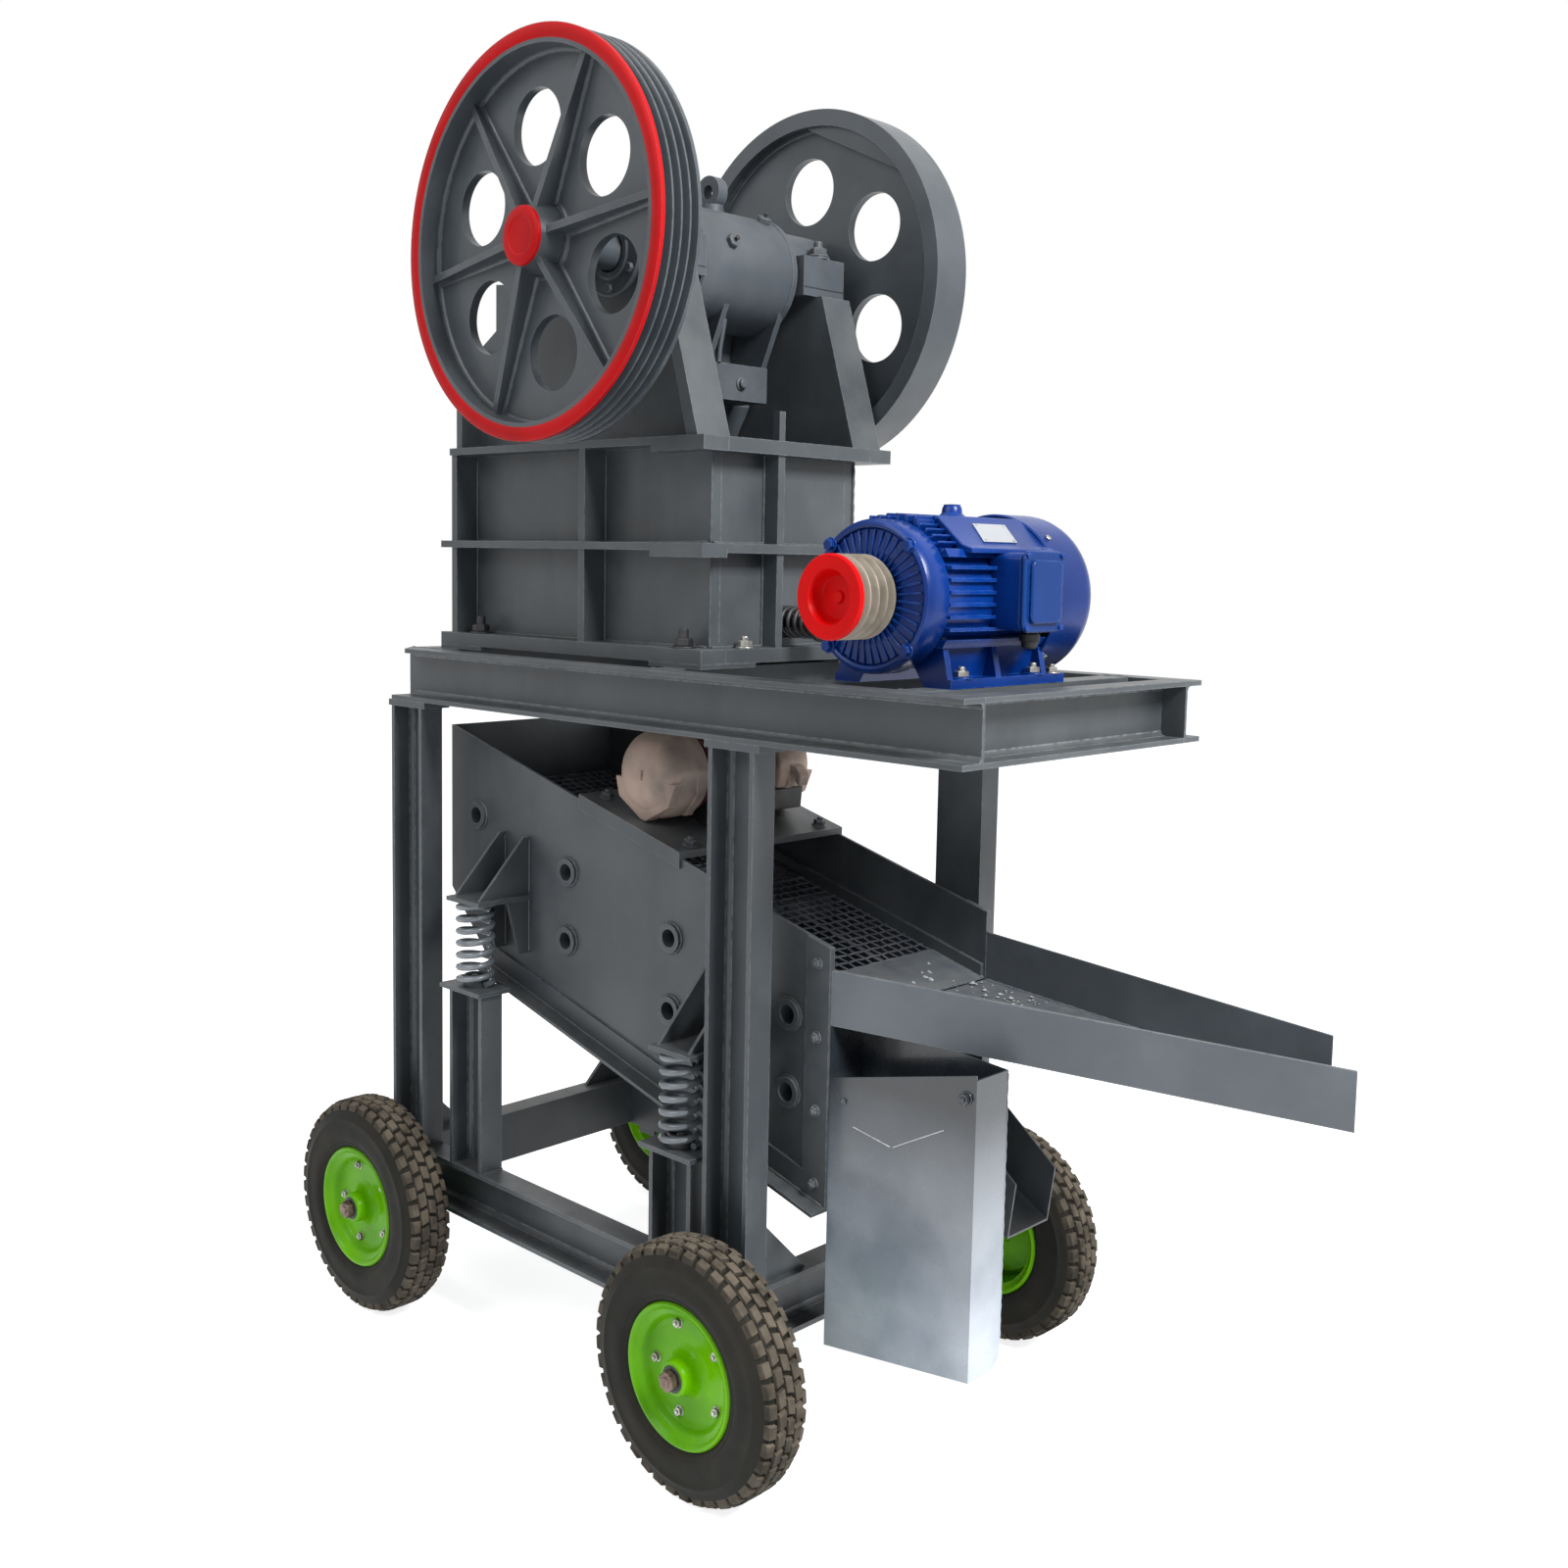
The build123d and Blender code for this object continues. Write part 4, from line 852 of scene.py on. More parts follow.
def concave(corner: tuple[float, float], way: tuple[float, float], radius: float, steps: int = 5) -> Profile:
    """Gives the outline of a hollow fillet that fills a square corner.

    Args:
        corner: The corner to fill.
        way: Signs that point out of the corner along both directions.
        radius: The fillet's radius.
        steps: Steps of its arc.

    Returns:
        The outline's points, walked round.
    """
    middle = (corner[0] + way[0] * radius, corner[1] + way[1] * radius)
    arc = []
    for k in range(steps + 1):
        angle = math.pi / 2 * k / steps
        arc.append((middle[0] - way[0] * radius * math.sin(angle),
                    middle[1] - way[1] * radius * math.cos(angle)))
    sunk = (corner[0] - way[0] * 0.4, corner[1] - way[1] * 0.4)
    return [(arc[0][0], sunk[1]), *arc, (sunk[0], arc[-1][1]), sunk]


@dataclass
class Chassis:
    """The base, the legs and the deck, made of rolled channel."""

    length: float = 1387.0
    corner_cut: float = 13.0
    width: float = WIDTH
    base_length: float = BASE_LENGTH
    deck_middle: float = 1230.0
    base_middle: float = 254.0
    base_top: float = 304.0
    leg_top: float = 1168.0
    depth: float = 100.0
    flange: float = 48.0
    web: float = 5.3
    lip: float = 8.5
    root: float = 9.0
    beams: tuple[float, ...] = (0.0, 60.0, 700.0, 1057.0, 1231.0)
    posts: tuple[tuple[float, float], ...] = SPRING_SEATS
    seat_plate: float = 8.0
    weld_inset: float = 3.0
    nodes: tuple[str, ...] = (
        "base_long_rails", "base_cross_rails", "legs", "leg_gussets", "spring_posts", "axle_stubs",
        "deck_long_beams", "deck_cross_beams", "crusher_pads",
    )

    def build(self) -> None:
        """Paints the channels and adds their roots, welds and spring guides."""
        for node in self.nodes:
            dress(node, GREY, 1.4)
        self._roots()
        self._welds()
        self._guides()

    def _runs(self) -> list[tuple[Vector, Vector, Vector]]:
        """Lists the channels.

        Returns:
            Each channel's start, its end and the way its back faces.
        """
        runs = []
        for side, back in ((0.0, 1.0), (self.width, -1.0)):
            way = Vector((0, back, 0))
            runs.append((Vector((self.corner_cut, side, self.deck_middle)),
                         Vector((self.length, side, self.deck_middle)), way))
            runs.append((Vector((0, side, self.base_middle)),
                         Vector((self.base_length, side, self.base_middle)), way))
            uprights = [(x, self.leg_top) for x in (self.depth / 2, self.base_length - self.depth / 2)]
            uprights += [(x, top - self.seat_plate) for x, top in self.posts]
            for x, top in uprights:
                runs.append((Vector((x, side, self.base_top)), Vector((x, side, top)), way))
        crossing = [(x, self.deck_middle, 1.0) for x in self.beams] + [(self.length, self.deck_middle, -1.0)]
        crossing += [(0.0, self.base_middle, 1.0), (self.base_length, self.base_middle, -1.0)]
        for x, middle, back in crossing:
            ends = [Vector((x, y, middle)) for y in (self.flange, self.width - self.flange)]
            runs.append((*ends, Vector((back, 0, 0))))
        return runs

    def _roots(self) -> None:
        """Fills the inner corners of every channel as rolling leaves them."""
        form = Form("channel_roots").use(GREY)
        for start, end, back in self._runs():
            across = back.cross((end - start).normalized())
            base = start + back * (self.flange - self.web)
            for sign in (1.0, -1.0):
                corner = base + across * sign * (self.depth / 2 - self.lip)
                section = [corner - back * a - across * sign * b
                           for a, b in concave((0.0, 0.0), (1.0, 1.0), self.root)]
                form.drawn(section, end - start)
        form.done(Body.CHASSIS, Slot.FRAME, angle=40)

    def _welds(self) -> None:
        """Lays the beads where channels and plates meet."""
        form = Form("chassis_welds").use(GREY)
        half, deck = self.depth / 2, self.deck_middle + self.depth / 2 - 0.8
        for side, way in ((0.0, 1.0), (self.width, -1.0)):
            inner, lips = side + way * self.weld_inset, side + way * self.flange
            root = lips - way
            for x, top in self.posts:
                for z, size in ((self.base_top, 3.5), (top - self.seat_plate, 3.0)):
                    for edge in (x - half, x + half):
                        form.weld((edge, inner, z), (edge, root, z), size)
                form.weld((x - half, lips, self.base_top), (x + half, lips, self.base_top))
            for x, turn in ((half, 1), (self.base_length - half, -1)):
                for z in (self.base_top, self.leg_top):
                    form.weld((x + turn * half, inner, z), (x + turn * half, root, z), 3.5)
                    form.weld((x - half + 2, lips, z), (x + half - 2, lips, z), 3.5)
            for x in self.beams:
                form.weld((x + 1, lips, deck), (x + self.flange - 1, lips, deck), 2.6)
        form.done(Body.CHASSIS, Slot.FRAME, angle=60)

    def _guides(self) -> None:
        """Stands a guide cup and a bolt inside the foot of each spring."""
        form = Form("spring_guides").use(GREY)
        cup = [(17, 0), (21, 0), (22, 1.5), (22, 20), (20.5, 22), (17, 22)]
        for x, top in self.posts:
            for y in SPRING_Y:
                form.turned(cup, (x, y, top), Line.Z, 32)
                form.use(STEEL).bolt((x, y, top), (0, 0, 1), 14).use(GREY)
        form.done(Body.CHASSIS, Slot.FRAME)


@dataclass
class CrusherBody:
    """The welded crusher frame, its bearing housings and the jaw's tension spring."""

    near: float = 136.0
    far: float = 496.0
    middle: float = WIDTH / 2
    left: float = 95.0
    right: float = 745.0
    flange_tops: tuple[float, ...] = (1312.0, 1488.0, 1663.0)
    panels: tuple[tuple[float, float], ...] = ((1314.0, 1474.0), (1490.0, 1640.0))
    ribs: tuple[float, ...] = (79.0, 462.0)
    rib: float = 16.0
    end_rib_y: tuple[float, ...] = (262.0, 278.0, 138.0, 494.0)
    end_flange_y: tuple[float, float] = (142.0, 490.0)
    cheek_foot: float = 1663.0
    cheek_lean: float = 0.285
    cheek_top: tuple[float, float] = (662.0, 1934.0)
    anchor_x: tuple[float, float] = (146.0, 716.0)
    anchor_y: float = 106.0
    shim_bolt: tuple[float, float] = (767.0, 200.0)
    shaft: tuple[float, float] = CRUSHER_SHAFT
    housings: tuple[tuple[float, float], ...] = ((87.0, 195.0), (437.0, 545.0))
    lug_reach: float = 100.0
    lug_top: float = 2010.0
    split_reach: float = 116.0
    rod: tuple[float, float] = (312.0, 1355.0)
    spring_length: float = 94.0

    def build(self) -> None:
        """Paints the frame and adds its welds, bolts, bearing covers and spring."""
        for node in ("near_side_wall", "far_side_wall", "front_wall", "rear_wall"):
            dress(node, GREY, 1.6)
        dress("bearing_housings", CAST_GREY, 3.0)
        # The shaft's darker grey is painted shade.
        dress("eccentric_shaft", SHAFT_SHADE_GREY, 0.6)
        dress("tension_rod", DARK, 0.8)
        self._welds()
        self._anchor_bolts()
        self._housing_caps()
        self._tension_spring()

    def _welds(self) -> None:
        """Lays beads along the flanges and the ribs of all four walls."""
        form = Form("crusher_welds").use(GREY)
        for wall, way in ((self.near, -1.0), (self.far, 1.0)):
            place = wall + way
            for top in self.flange_tops:
                form.weld((self.left + 2, place, top + 1), (self.right - 4, place, top + 1), 3.6)
            for edge in (x + offset for x in self.ribs for offset in (0.0, self.rib)):
                for low, high in self.panels if edge > self.left - 1 else ():
                    form.weld((edge, place, low), (edge, place, high), 3.2)
            for z in (self.cheek_foot + 1, self.cheek_top[1] - 2):
                x = self.right - 2 - (z - self.cheek_foot) * self.cheek_lean
                form.weld((x, place, z), (x, place - way * 3, z + 2), 3.0)
            x, z = self.cheek_top
            form.weld((self.right - 8, place, self.cheek_foot + 5), (x, place, z), 3.4)
        y0, y1 = self.end_flange_y
        for top in self.flange_tops:
            for x in (self.right + 1, self.left - 1):
                form.weld((x, y0, top + 1), (x, y1, top + 1), 3.6)
        for low, high in self.panels:
            for y in self.end_rib_y:
                form.weld((self.right + 1, y, low), (self.right + 1, y, high), 3.2)
        form.done(Body.CHASSIS, Slot.FRAME, angle=60)

    def _anchor_bolts(self) -> None:
        """Bolts the bottom flange down through the pads."""
        form = Form("anchor_bolts").use(DARK)
        seat = self.flange_tops[0]
        for x in self.anchor_x:
            for y in (self.anchor_y, self.middle * 2 - self.anchor_y):
                form.bolt((x, y, seat), (0, 0, 1), 18, stub=0.9)
        x, near = self.shim_bolt
        for y in (near, self.middle * 2 - near):
            form.use(STEEL).bolt((x, y, seat), (0, 0, 1), 14)
        form.done(Body.CHASSIS, Slot.FRAME, bevel=0.5)

    def _housing_caps(self) -> None:
        """Adds cap bolts, the parting line and the end covers of both housings."""
        form = Form("housing_caps")
        x, z = self.shaft
        boss = [(0, 0), (19, 0), (19, 3), (17.5, 4.5), (0, 4.5)]
        cover = [(34, 0), (74, 0), (74, 5), (71, 8), (46, 8), (43, 11), (34, 11)]
        for low, high in self.housings:
            centre = (low + high) / 2
            for place in (x - self.lug_reach, x + self.lug_reach):
                form.use(CAST_GREY).turned(boss, (place, centre, self.lug_top), Line.Z, 32)
                form.use(GREY).bolt((place, centre, self.lug_top + 4.5), (0, 0, 1), 17, stub=0.7)
            face, way = (low, -1.0) if low < self.middle else (high, 1.0)
            form.use(CAST_GREY).turned(facing(cover, face, way, sunk=0.5), (x, 0, z))
            for k in range(6):
                seat = Form.spun((x, face + way * 7.5, z), Line.Y, 60, math.radians(60 * k + 30), 0)
                form.use(GREY).bolt(tuple(seat), (0, way, 0), 9, washer=False, stub=0)
        form.use(DARK)
        for low, high in self.housings:
            for place in (x - self.split_reach, x + self.split_reach):
                form.block((place - 0.6, low + 1, z - 22), (place + 0.6, high - 1, z - 20))
        form.done(Body.CHASSIS, Slot.FRAME, bevel=0.5)

    def _tension_spring(self) -> None:
        """Winds the black spring on the tension rod."""
        form = Form("tension_spring_coil").use(DARK)
        middle_line = coil((self.right, *self.rod), self.spring_length, 24.0, 8.5, 6.0, Line.X)
        form.tube(middle_line, 4.25, 10)
        form.done(Body.CHASSIS, Slot.SPRING, ("tension_spring",), angle=80)


@dataclass
class Flywheels:
    """Both flywheels with their cast fillets, the red rim ring and the red hub."""

    centre: Point = (CRUSHER_SHAFT[0], 0.0, CRUSHER_SHAFT[1])
    radius: float = 328.0
    rim_inner: float = 298.0
    red_inner: float = 305.0
    hub_root: float = 60.0
    front: float = -100.0
    hub_stand: float = 10.0
    near_web: tuple[float, float] = (-60.0, -44.0)
    far_web: tuple[float, float] = (582.0, 598.0)
    far_hub: float = 648.0
    spokes: int = 6
    spoke_angle: float = 7.0
    spoke_half: float = 6.0
    spoke_start: float = 58.0
    fillet: float = 6.0
    spoke_fillet: float = 5.0

    def build(self) -> None:
        """Paints the wheels and adds their fillets and red faces."""
        dress("grooved_flywheel", WHEEL_GREY, 1.0)
        dress("plain_flywheel", WHEEL_GREY, 2.0)
        self._fillets()
        self._red_faces()
        self._far_hub()

    def _fillets(self) -> None:
        """Rounds the corners that casting leaves between web, rim, hub and spokes."""
        form = Form("flywheel_fillets").use(WHEEL_GREY)
        for webs in (self.near_web, self.far_web):
            for web, way in zip(webs, (-1.0, 1.0)):
                form.turned(concave((self.rim_inner, web), (-1.0, way), self.fillet), self.centre, steps=128)
                form.turned(concave((self.hub_root, web), (1.0, way), self.fillet), self.centre, steps=64)
        front = Vector((0, self.near_web[0], 0))
        hollow = concave((0.0, 0.0), (1.0, 1.0), self.spoke_fillet)
        for k in range(self.spokes):
            along, across = radial(math.radians(self.spoke_angle + 360 / self.spokes * k))
            for side in (1.0, -1.0):
                base = Vector(self.centre) + front
                base += along * self.spoke_start + across * side * self.spoke_half
                section = [base + across * side * a + Vector((0, -b, 0)) for a, b in hollow]
                form.drawn(section, along * (self.rim_inner - self.spoke_start))
        form.done(Body.FLYWHEELS, Slot.FRAME, angle=40)

    def _red_faces(self) -> None:
        """Lays the red paint on the near rim's front and on the hub."""
        form = Form("red_rim_ring").use(RED)
        inner, outer, face = self.red_inner, self.radius, self.front
        form.turned([
            (inner - 0.6, face + 3), (inner - 0.6, face + 0.4), (inner + 1.2, face - 1.0),
            (outer - 1.6, face - 1.0), (outer + 0.5, face + 0.6), (outer + 0.5, face + 6.5),
            (outer - 1.0, face + 7.0), (outer - 1.0, face + 1.0), (inner + 1.0, face + 1.0),
            (inner + 0.5, face + 3),
        ], self.centre, steps=160)
        form.done(Body.FLYWHEELS, Slot.PULLEY, angle=50)
        hub = self.front - self.hub_stand
        form = Form("red_hub_cap").use(RED)
        form.turned([
            (0, hub - 1.2), (30, hub - 1.2), (31, hub - 2.4), (44, hub - 2.4), (47.2, hub - 0.4),
            (48.0, hub + 3), (48.4, hub + 6), (45, hub + 6), (45, hub + 2), (0, hub + 2),
        ], self.centre, steps=72)
        form.done(Body.FLYWHEELS, Slot.PULLEY, bevel=0.8, angle=40)

    def _far_hub(self) -> None:
        """Closes the far hub with a washer plate and its bolt."""
        form = Form("far_hub_plate").use(WHEEL_GREY)
        plate = [(0, -2), (36, -2), (36, 3), (34, 5), (0, 5)]
        form.turned(facing(plate, self.far_hub, 1.0), self.centre, steps=48)
        form.use(STEEL).bolt((self.centre[0], self.far_hub + 5, self.centre[2]), (0, 1, 0), 20, stub=0)
        form.done(Body.FLYWHEELS, Slot.FRAME, bevel=0.6)


@dataclass
class Jaw:
    """The swing jaw with its barrel's end rings, grease nipples and bolts."""

    shaft: tuple[float, float] = CRUSHER_SHAFT
    barrel: tuple[float, float] = (200.0, 432.0)
    barrel_radius: float = 105.0
    nipples: tuple[tuple[float, float], ...] = ((19.0, 270.0), (62.0, 398.0))
    knob: Point = (589.5, 357.0, 1778.0)
    pipe: tuple[Point, ...] = ((590, 300, 1812), (592, 300, 1836), (600, 302, 1880), (603, 302, 1905))

    def build(self) -> None:
        """Paints the jaw and adds its rings and fittings."""
        dress("swing_jaw", CAST_GREY, 3.0)
        self._end_rings()
        self._fittings()

    def _end_rings(self) -> None:
        """Adds the bolted rings that close both ends of the barrel."""
        form = Form("barrel_end_rings").use(CAST_GREY)
        centre = (self.shaft[0], 0, self.shaft[1])
        ring = [(34, 0), (96, 0), (96, 2), (94, 3), (34, 3)]
        low, high = self.barrel_radius - 1, self.barrel_radius + 1.6
        band = [(low, 0), (high, 0.6), (high, 11.4), (low, 12)]
        for face, way in zip(self.barrel, (-1.0, 1.0)):
            form.turned(facing(ring, face, way, sunk=0.4), centre)
            form.turned(facing(band, face - way * 14, -way, sunk=12), centre)
        form.done(Body.JAW, Slot.FRAME, bevel=0.5)

    def _fittings(self) -> None:
        """Adds grease nipples on the barrel, the knob of the beam and a grease pipe."""
        form = Form("jaw_fittings")
        x, z = self.shaft
        for angle, y in self.nipples:
            out, _ = radial(math.radians(angle))
            seat = Vector((x, y, z)) + out * (self.barrel_radius - 0.5)
            form.use(CAST_GREY).bolt(tuple(seat), tuple(out), 14, washer=False, stub=0.0)
            tip = [seat + out * height for height in (9, 15, 17, 19)]
            form.use(DARK).tube(tip, 3.2, 10, swell=[1.0, 1.0, 1.5, 0.9])
        knob = [(0, 0), (12, 0), (12, 3), (9, 4), (9, 9), (7, 11), (0, 11)]
        form.use(CAST_GREY).turned(knob, self.knob, Line.X, 24)
        form.tube([Vector(point) for point in self.pipe], 5.0, 12)
        form.done(Body.JAW, Slot.FRAME, bevel=0.6)


@dataclass
class Motor:
    """The blue electric motor: finned frame, shield, fan cover, terminal box and pulley."""

    x: float = 1168.0
    z: float = 1411.0
    shield: tuple[float, float] = (50.0, 102.0)
    shield_ribs: int = 40
    shield_bolts: float = 106.0
    body_back: float = 355.0
    fan_back: float = 452.0
    fan_radius: float = 129.0
    fan_blades: int = 9
    grille_spokes: int = 8
    foot_top: float = 1294.0
    foot_bolt: float = 98.0
    foot_bolt_y: tuple[float, float] = (150.0, 330.0)
    earth_bolt: tuple[float, float] = (104.0, 372.0)
    box_x: tuple[float, float] = (1264.0, 1340.0)
    box_y: tuple[float, float] = (208.0, 306.0)
    box_z: tuple[float, float] = (1363.0, 1481.0)
    pulley_front: float = -36.0
    pulley_back: float = 42.0
    pulley_radius: float = 62.0
    grooves: int = 4
    groove_pitch: float = 18.0
    plate_y: tuple[float, float] = (203.0, 288.0)
    eye: Point = (0.0, 243.0, 118.0)

    def build(self) -> None:
        """Paints the motor frame and adds all that is fitted to it."""
        dress("motor_frame", BLUE, 1.2)
        self._shield()
        self._shoulders()
        self._fan_cover()
        self._terminal_box()
        self._eye()
        self._feet()
        self._pulley()

    def _at(self, across: float, y: float, up: float) -> Point:
        """Gives a point measured from the motor's shaft line."""
        return (self.x + across, y, self.z + up)

    def _foot_seats(self) -> list[Point]:
        """Lists the middles of the four foot bolts on top of the feet."""
        columns = (self.x - self.foot_bolt, self.x + self.foot_bolt)
        return [(x, y, self.foot_top) for x in columns for y in self.foot_bolt_y]

    def _shield(self) -> None:
        """Adds the ribs, the ring and the bolts of the front shield."""
        form = Form("motor_shield").use(BLUE)
        front, back = self.shield
        centre = self._at(0, 0, 0)
        form.turned([
            (98, front + 9), (101, front + 2), (105, front + 0.5), (110, front + 3), (113.2, front + 9),
            (113.6, front + 16), (113.6, back - 5), (112, back - 2), (104, back - 2),
        ], centre, steps=96)
        form.turned([
            (21, front - 3), (40, front - 3), (44, front - 1), (55, front + 4), (60, front + 4),
            (60, front + 10), (21, front + 10),
        ], centre, steps=64)
        side_view = ((0, -3.5), (40, 2.0), (44, 11), (0, 8))
        for k in range(self.shield_ribs):
            along, across = radial(2 * math.pi * (k + 0.5) / self.shield_ribs)
            across *= 3.6
            start = Vector(centre) + along * 58 - across / 2
            form.drawn([start + along * out + Vector((0, front + y, 0)) for out, y in side_view], across)
        form.done(Body.CHASSIS, Slot.MOTOR, bevel=0.9)
        form = Form("motor_bolts").use(STEEL)
        for k in range(4):
            seat = Form.spun(centre, Line.Y, self.shield_bolts, math.radians(45 + 90 * k), front + 1.5)
            form.use(BLUE).bolt(tuple(seat), (0, -1, 0), 10, stub=0)
        form.use(STEEL)
        for seat in self._foot_seats():
            form.bolt(seat, (0, 0, 1), 12)
        across, y = self.earth_bolt
        form.bolt((self.x + across, y, self.foot_top), (0, 0, 1), 10)
        form.done(Body.CHASSIS, Slot.MOTOR, bevel=0.4)

    def _shoulders(self) -> None:
        """Adds the flat top, the slanted shoulders and the fins in front of them."""
        form = Form("motor_shoulders").use(BLUE)
        top = [(-50, 114), (50, 114), (50, 120.5), (-50, 120.5)]
        panel = [(49, 121), (99, 79), (118, 73), (118, 66), (96, 66), (49, 108)]
        form.prism([(self.x + a, self.z + b) for a, b in top], 140.0, self.body_back - 6)
        front = self.shield[1] - 2
        for side in (-1, 1):
            form.prism([(self.x + side * a, self.z + b) for a, b in panel], 142.0, self.body_back - 4)
            for k in range(5):
                along, across = radial(math.radians(90 - side * (26 + 7 * k)))
                across *= 3.5
                start = Vector(self._at(0, front, 0)) + along * 104 - across / 2
                form.fin(start, along * 16, Vector((0, 42, 0)), across)
        for k in range(6):
            x = self.x - 42 + 16.8 * k
            form.block((x - 2.5, front, self.z + 104), (x + 2.5, 141, self.z + 119.5))
        form.done(Body.CHASSIS, Slot.MOTOR, bevel=1.6)
        self._rating_plate()

    def _rating_plate(self) -> None:
        """Screws the bare rating plate to the slanted shoulder."""
        form = Form("rating_plate").use(PLATE)
        start, end = Vector(self._at(63, 0, 109.4)), Vector(self._at(95, 0, 82.4))
        slope = end - start
        out = Vector((-slope.z, 0, slope.x)).normalized()
        low, high = self.plate_y
        corners = [edge + Vector((0, y, 0)) for edge, y in (
            (start, low + 8), (start, high + 4), (end, high - 6), (end, low - 4))]
        form.drawn([corner + out * 0.2 for corner in corners], out * 1.4)
        form.use(STEEL)
        middle = sum(corners, Vector()) / 4
        for corner in corners:
            seat = corner.lerp(middle, 0.16)
            form.tube([seat + out * 1.2, seat + out * 2.6], 2.0, 8)
        form.done(Body.CHASSIS, Slot.STEEL, bevel=0.3)

    def _fan_cover(self) -> None:
        """Builds the hollow fan cover with its rear grille, the fan and the screws."""
        form = Form("motor_fan_cover_shell").use(BLUE)
        centre = self._at(0, 0, 0)
        r, front, back = self.fan_radius, self.body_back, self.fan_back
        form.turned([
            (r - 5, front - 6), (r - 2, front - 7), (r, front - 5), (r, front + 70), (r - 0.8, front + 78),
            (r - 3.5, back - 10), (r - 8, back - 4), (r - 14, back - 0.5), (r - 34, back + 0.5),
            (r - 34, back - 3), (r - 24, back - 4), (r - 17, back - 8), (r - 8, back - 20),
            (r - 4, front + 60), (r - 4, front),
        ], centre, steps=112)
        for ring in range(24, 96, 12):
            form.turned([(ring - 2.2, back - 2.2), (ring + 2.2, back - 2.2), (ring + 2.2, back + 1.2),
                         (ring - 2.2, back + 1.2)], centre, steps=64)
        form.turned([(0, back - 2.5), (17, back - 2.5), (17, back + 1.5), (0, back + 2.2)], centre, steps=40)
        for k in range(self.grille_spokes):
            along, across = radial(math.radians(22.5 + 45 * k))
            across *= 5.0
            start = Vector(self._at(0, back - 3.2, 0)) + along * 12 - across / 2
            form.fin(start, along * 84, Vector((0, 2.2, 0)), across)
        form.use(DARK)
        disc, hub = (front + 2, front + 8), (front + 6, back - 18)
        for (low, high), size, steps in ((disc, r - 5, 64), (hub, 26, 32)):
            form.turned([(0, low), (size, low), (size, high), (0, high)], centre, steps=steps)
        for k in range(self.fan_blades):
            along, across = radial(2 * math.pi * k / self.fan_blades)
            start = Vector(self._at(0, front + 30, 0)) + along * 22
            form.fin(start, along * 76, Vector((0, 42, 0)), across * 3.0)
        form.use(STEEL)
        for k in range(4):
            out, _ = radial(math.radians(45 + 90 * k))
            seat = Vector(self._at(0, front + 12, 0)) + out * (r - 0.3)
            form.bolt(tuple(seat), tuple(out), 6, washer=False, stub=0)
        form.done(Body.CHASSIS, Slot.MOTOR, ("motor_fan_cover",), bevel=0.6, angle=38)

    def _terminal_box(self) -> None:
        """Builds the terminal box with its raised lid, screws and gland."""
        form = Form("terminal_box").use(BLUE)
        (x0, x1), (y0, y1), (z0, z1) = self.box_x, self.box_y, self.box_z
        form.prism(rounded((y0 + 2, z0 + 2), (y1 - 2, z1 - 2), 12), x0, x1 - 16, Line.X)
        form.use(BLUE_LID)
        form.prism(rounded((y0 - 1, z0 - 1), (y1 + 1, z1 + 1), 14), x1 - 15, x1 - 7, Line.X)
        form.prism(rounded((y0 + 11, z0 + 12), (y1 - 11, z1 - 12), 11), x1 - 8, x1 - 0.5, Line.X)
        form.done(Body.CHASSIS, Slot.MOTOR, ("motor_terminal_box",), bevel=3.2, segments=4)
        form = Form("terminal_box_fittings").use(BLUE)
        for y in (y0 + 5.5, y1 - 5.5):
            for z in (z0 + 6, z1 - 6):
                form.bolt((x1 - 7.4, y, z), (1, 0, 0), 5, washer=False, stub=0)
        gland = [(0, 4), (13, 4), (13, -4), (15.5, -5), (15.5, -15), (13, -16), (12, -24), (9, -27), (0, -27)]
        form.use(DARK).turned(gland, (x0 + 32, y1 - 30, z0), Line.Z, 24)
        form.done(Body.CHASSIS, Slot.MOTOR, bevel=0.5)

    def _eye(self) -> None:
        """Adds the low lifting nub on top."""
        form = Form("motor_eye").use(BLUE)
        nub = [(0, 0), (24, 0), (24, 3), (19, 6), (16, 9), (15, 17), (12.5, 21), (7, 22.5), (0, 22.5)]
        form.turned(nub, self._at(*self.eye), Line.Z, 32)
        form.done(Body.CHASSIS, Slot.MOTOR, bevel=0.8)

    def _feet(self) -> None:
        """Adds the raised pads round the foot bolts."""
        form = Form("motor_foot_pads").use(BLUE)
        for seat in self._foot_seats():
            form.turned([(7, -0.5), (17, -0.5), (17, 1.6), (15.5, 2.6), (7, 2.6)], seat, Line.Z, 28)
        form.done(Body.CHASSIS, Slot.MOTOR, bevel=0.4)

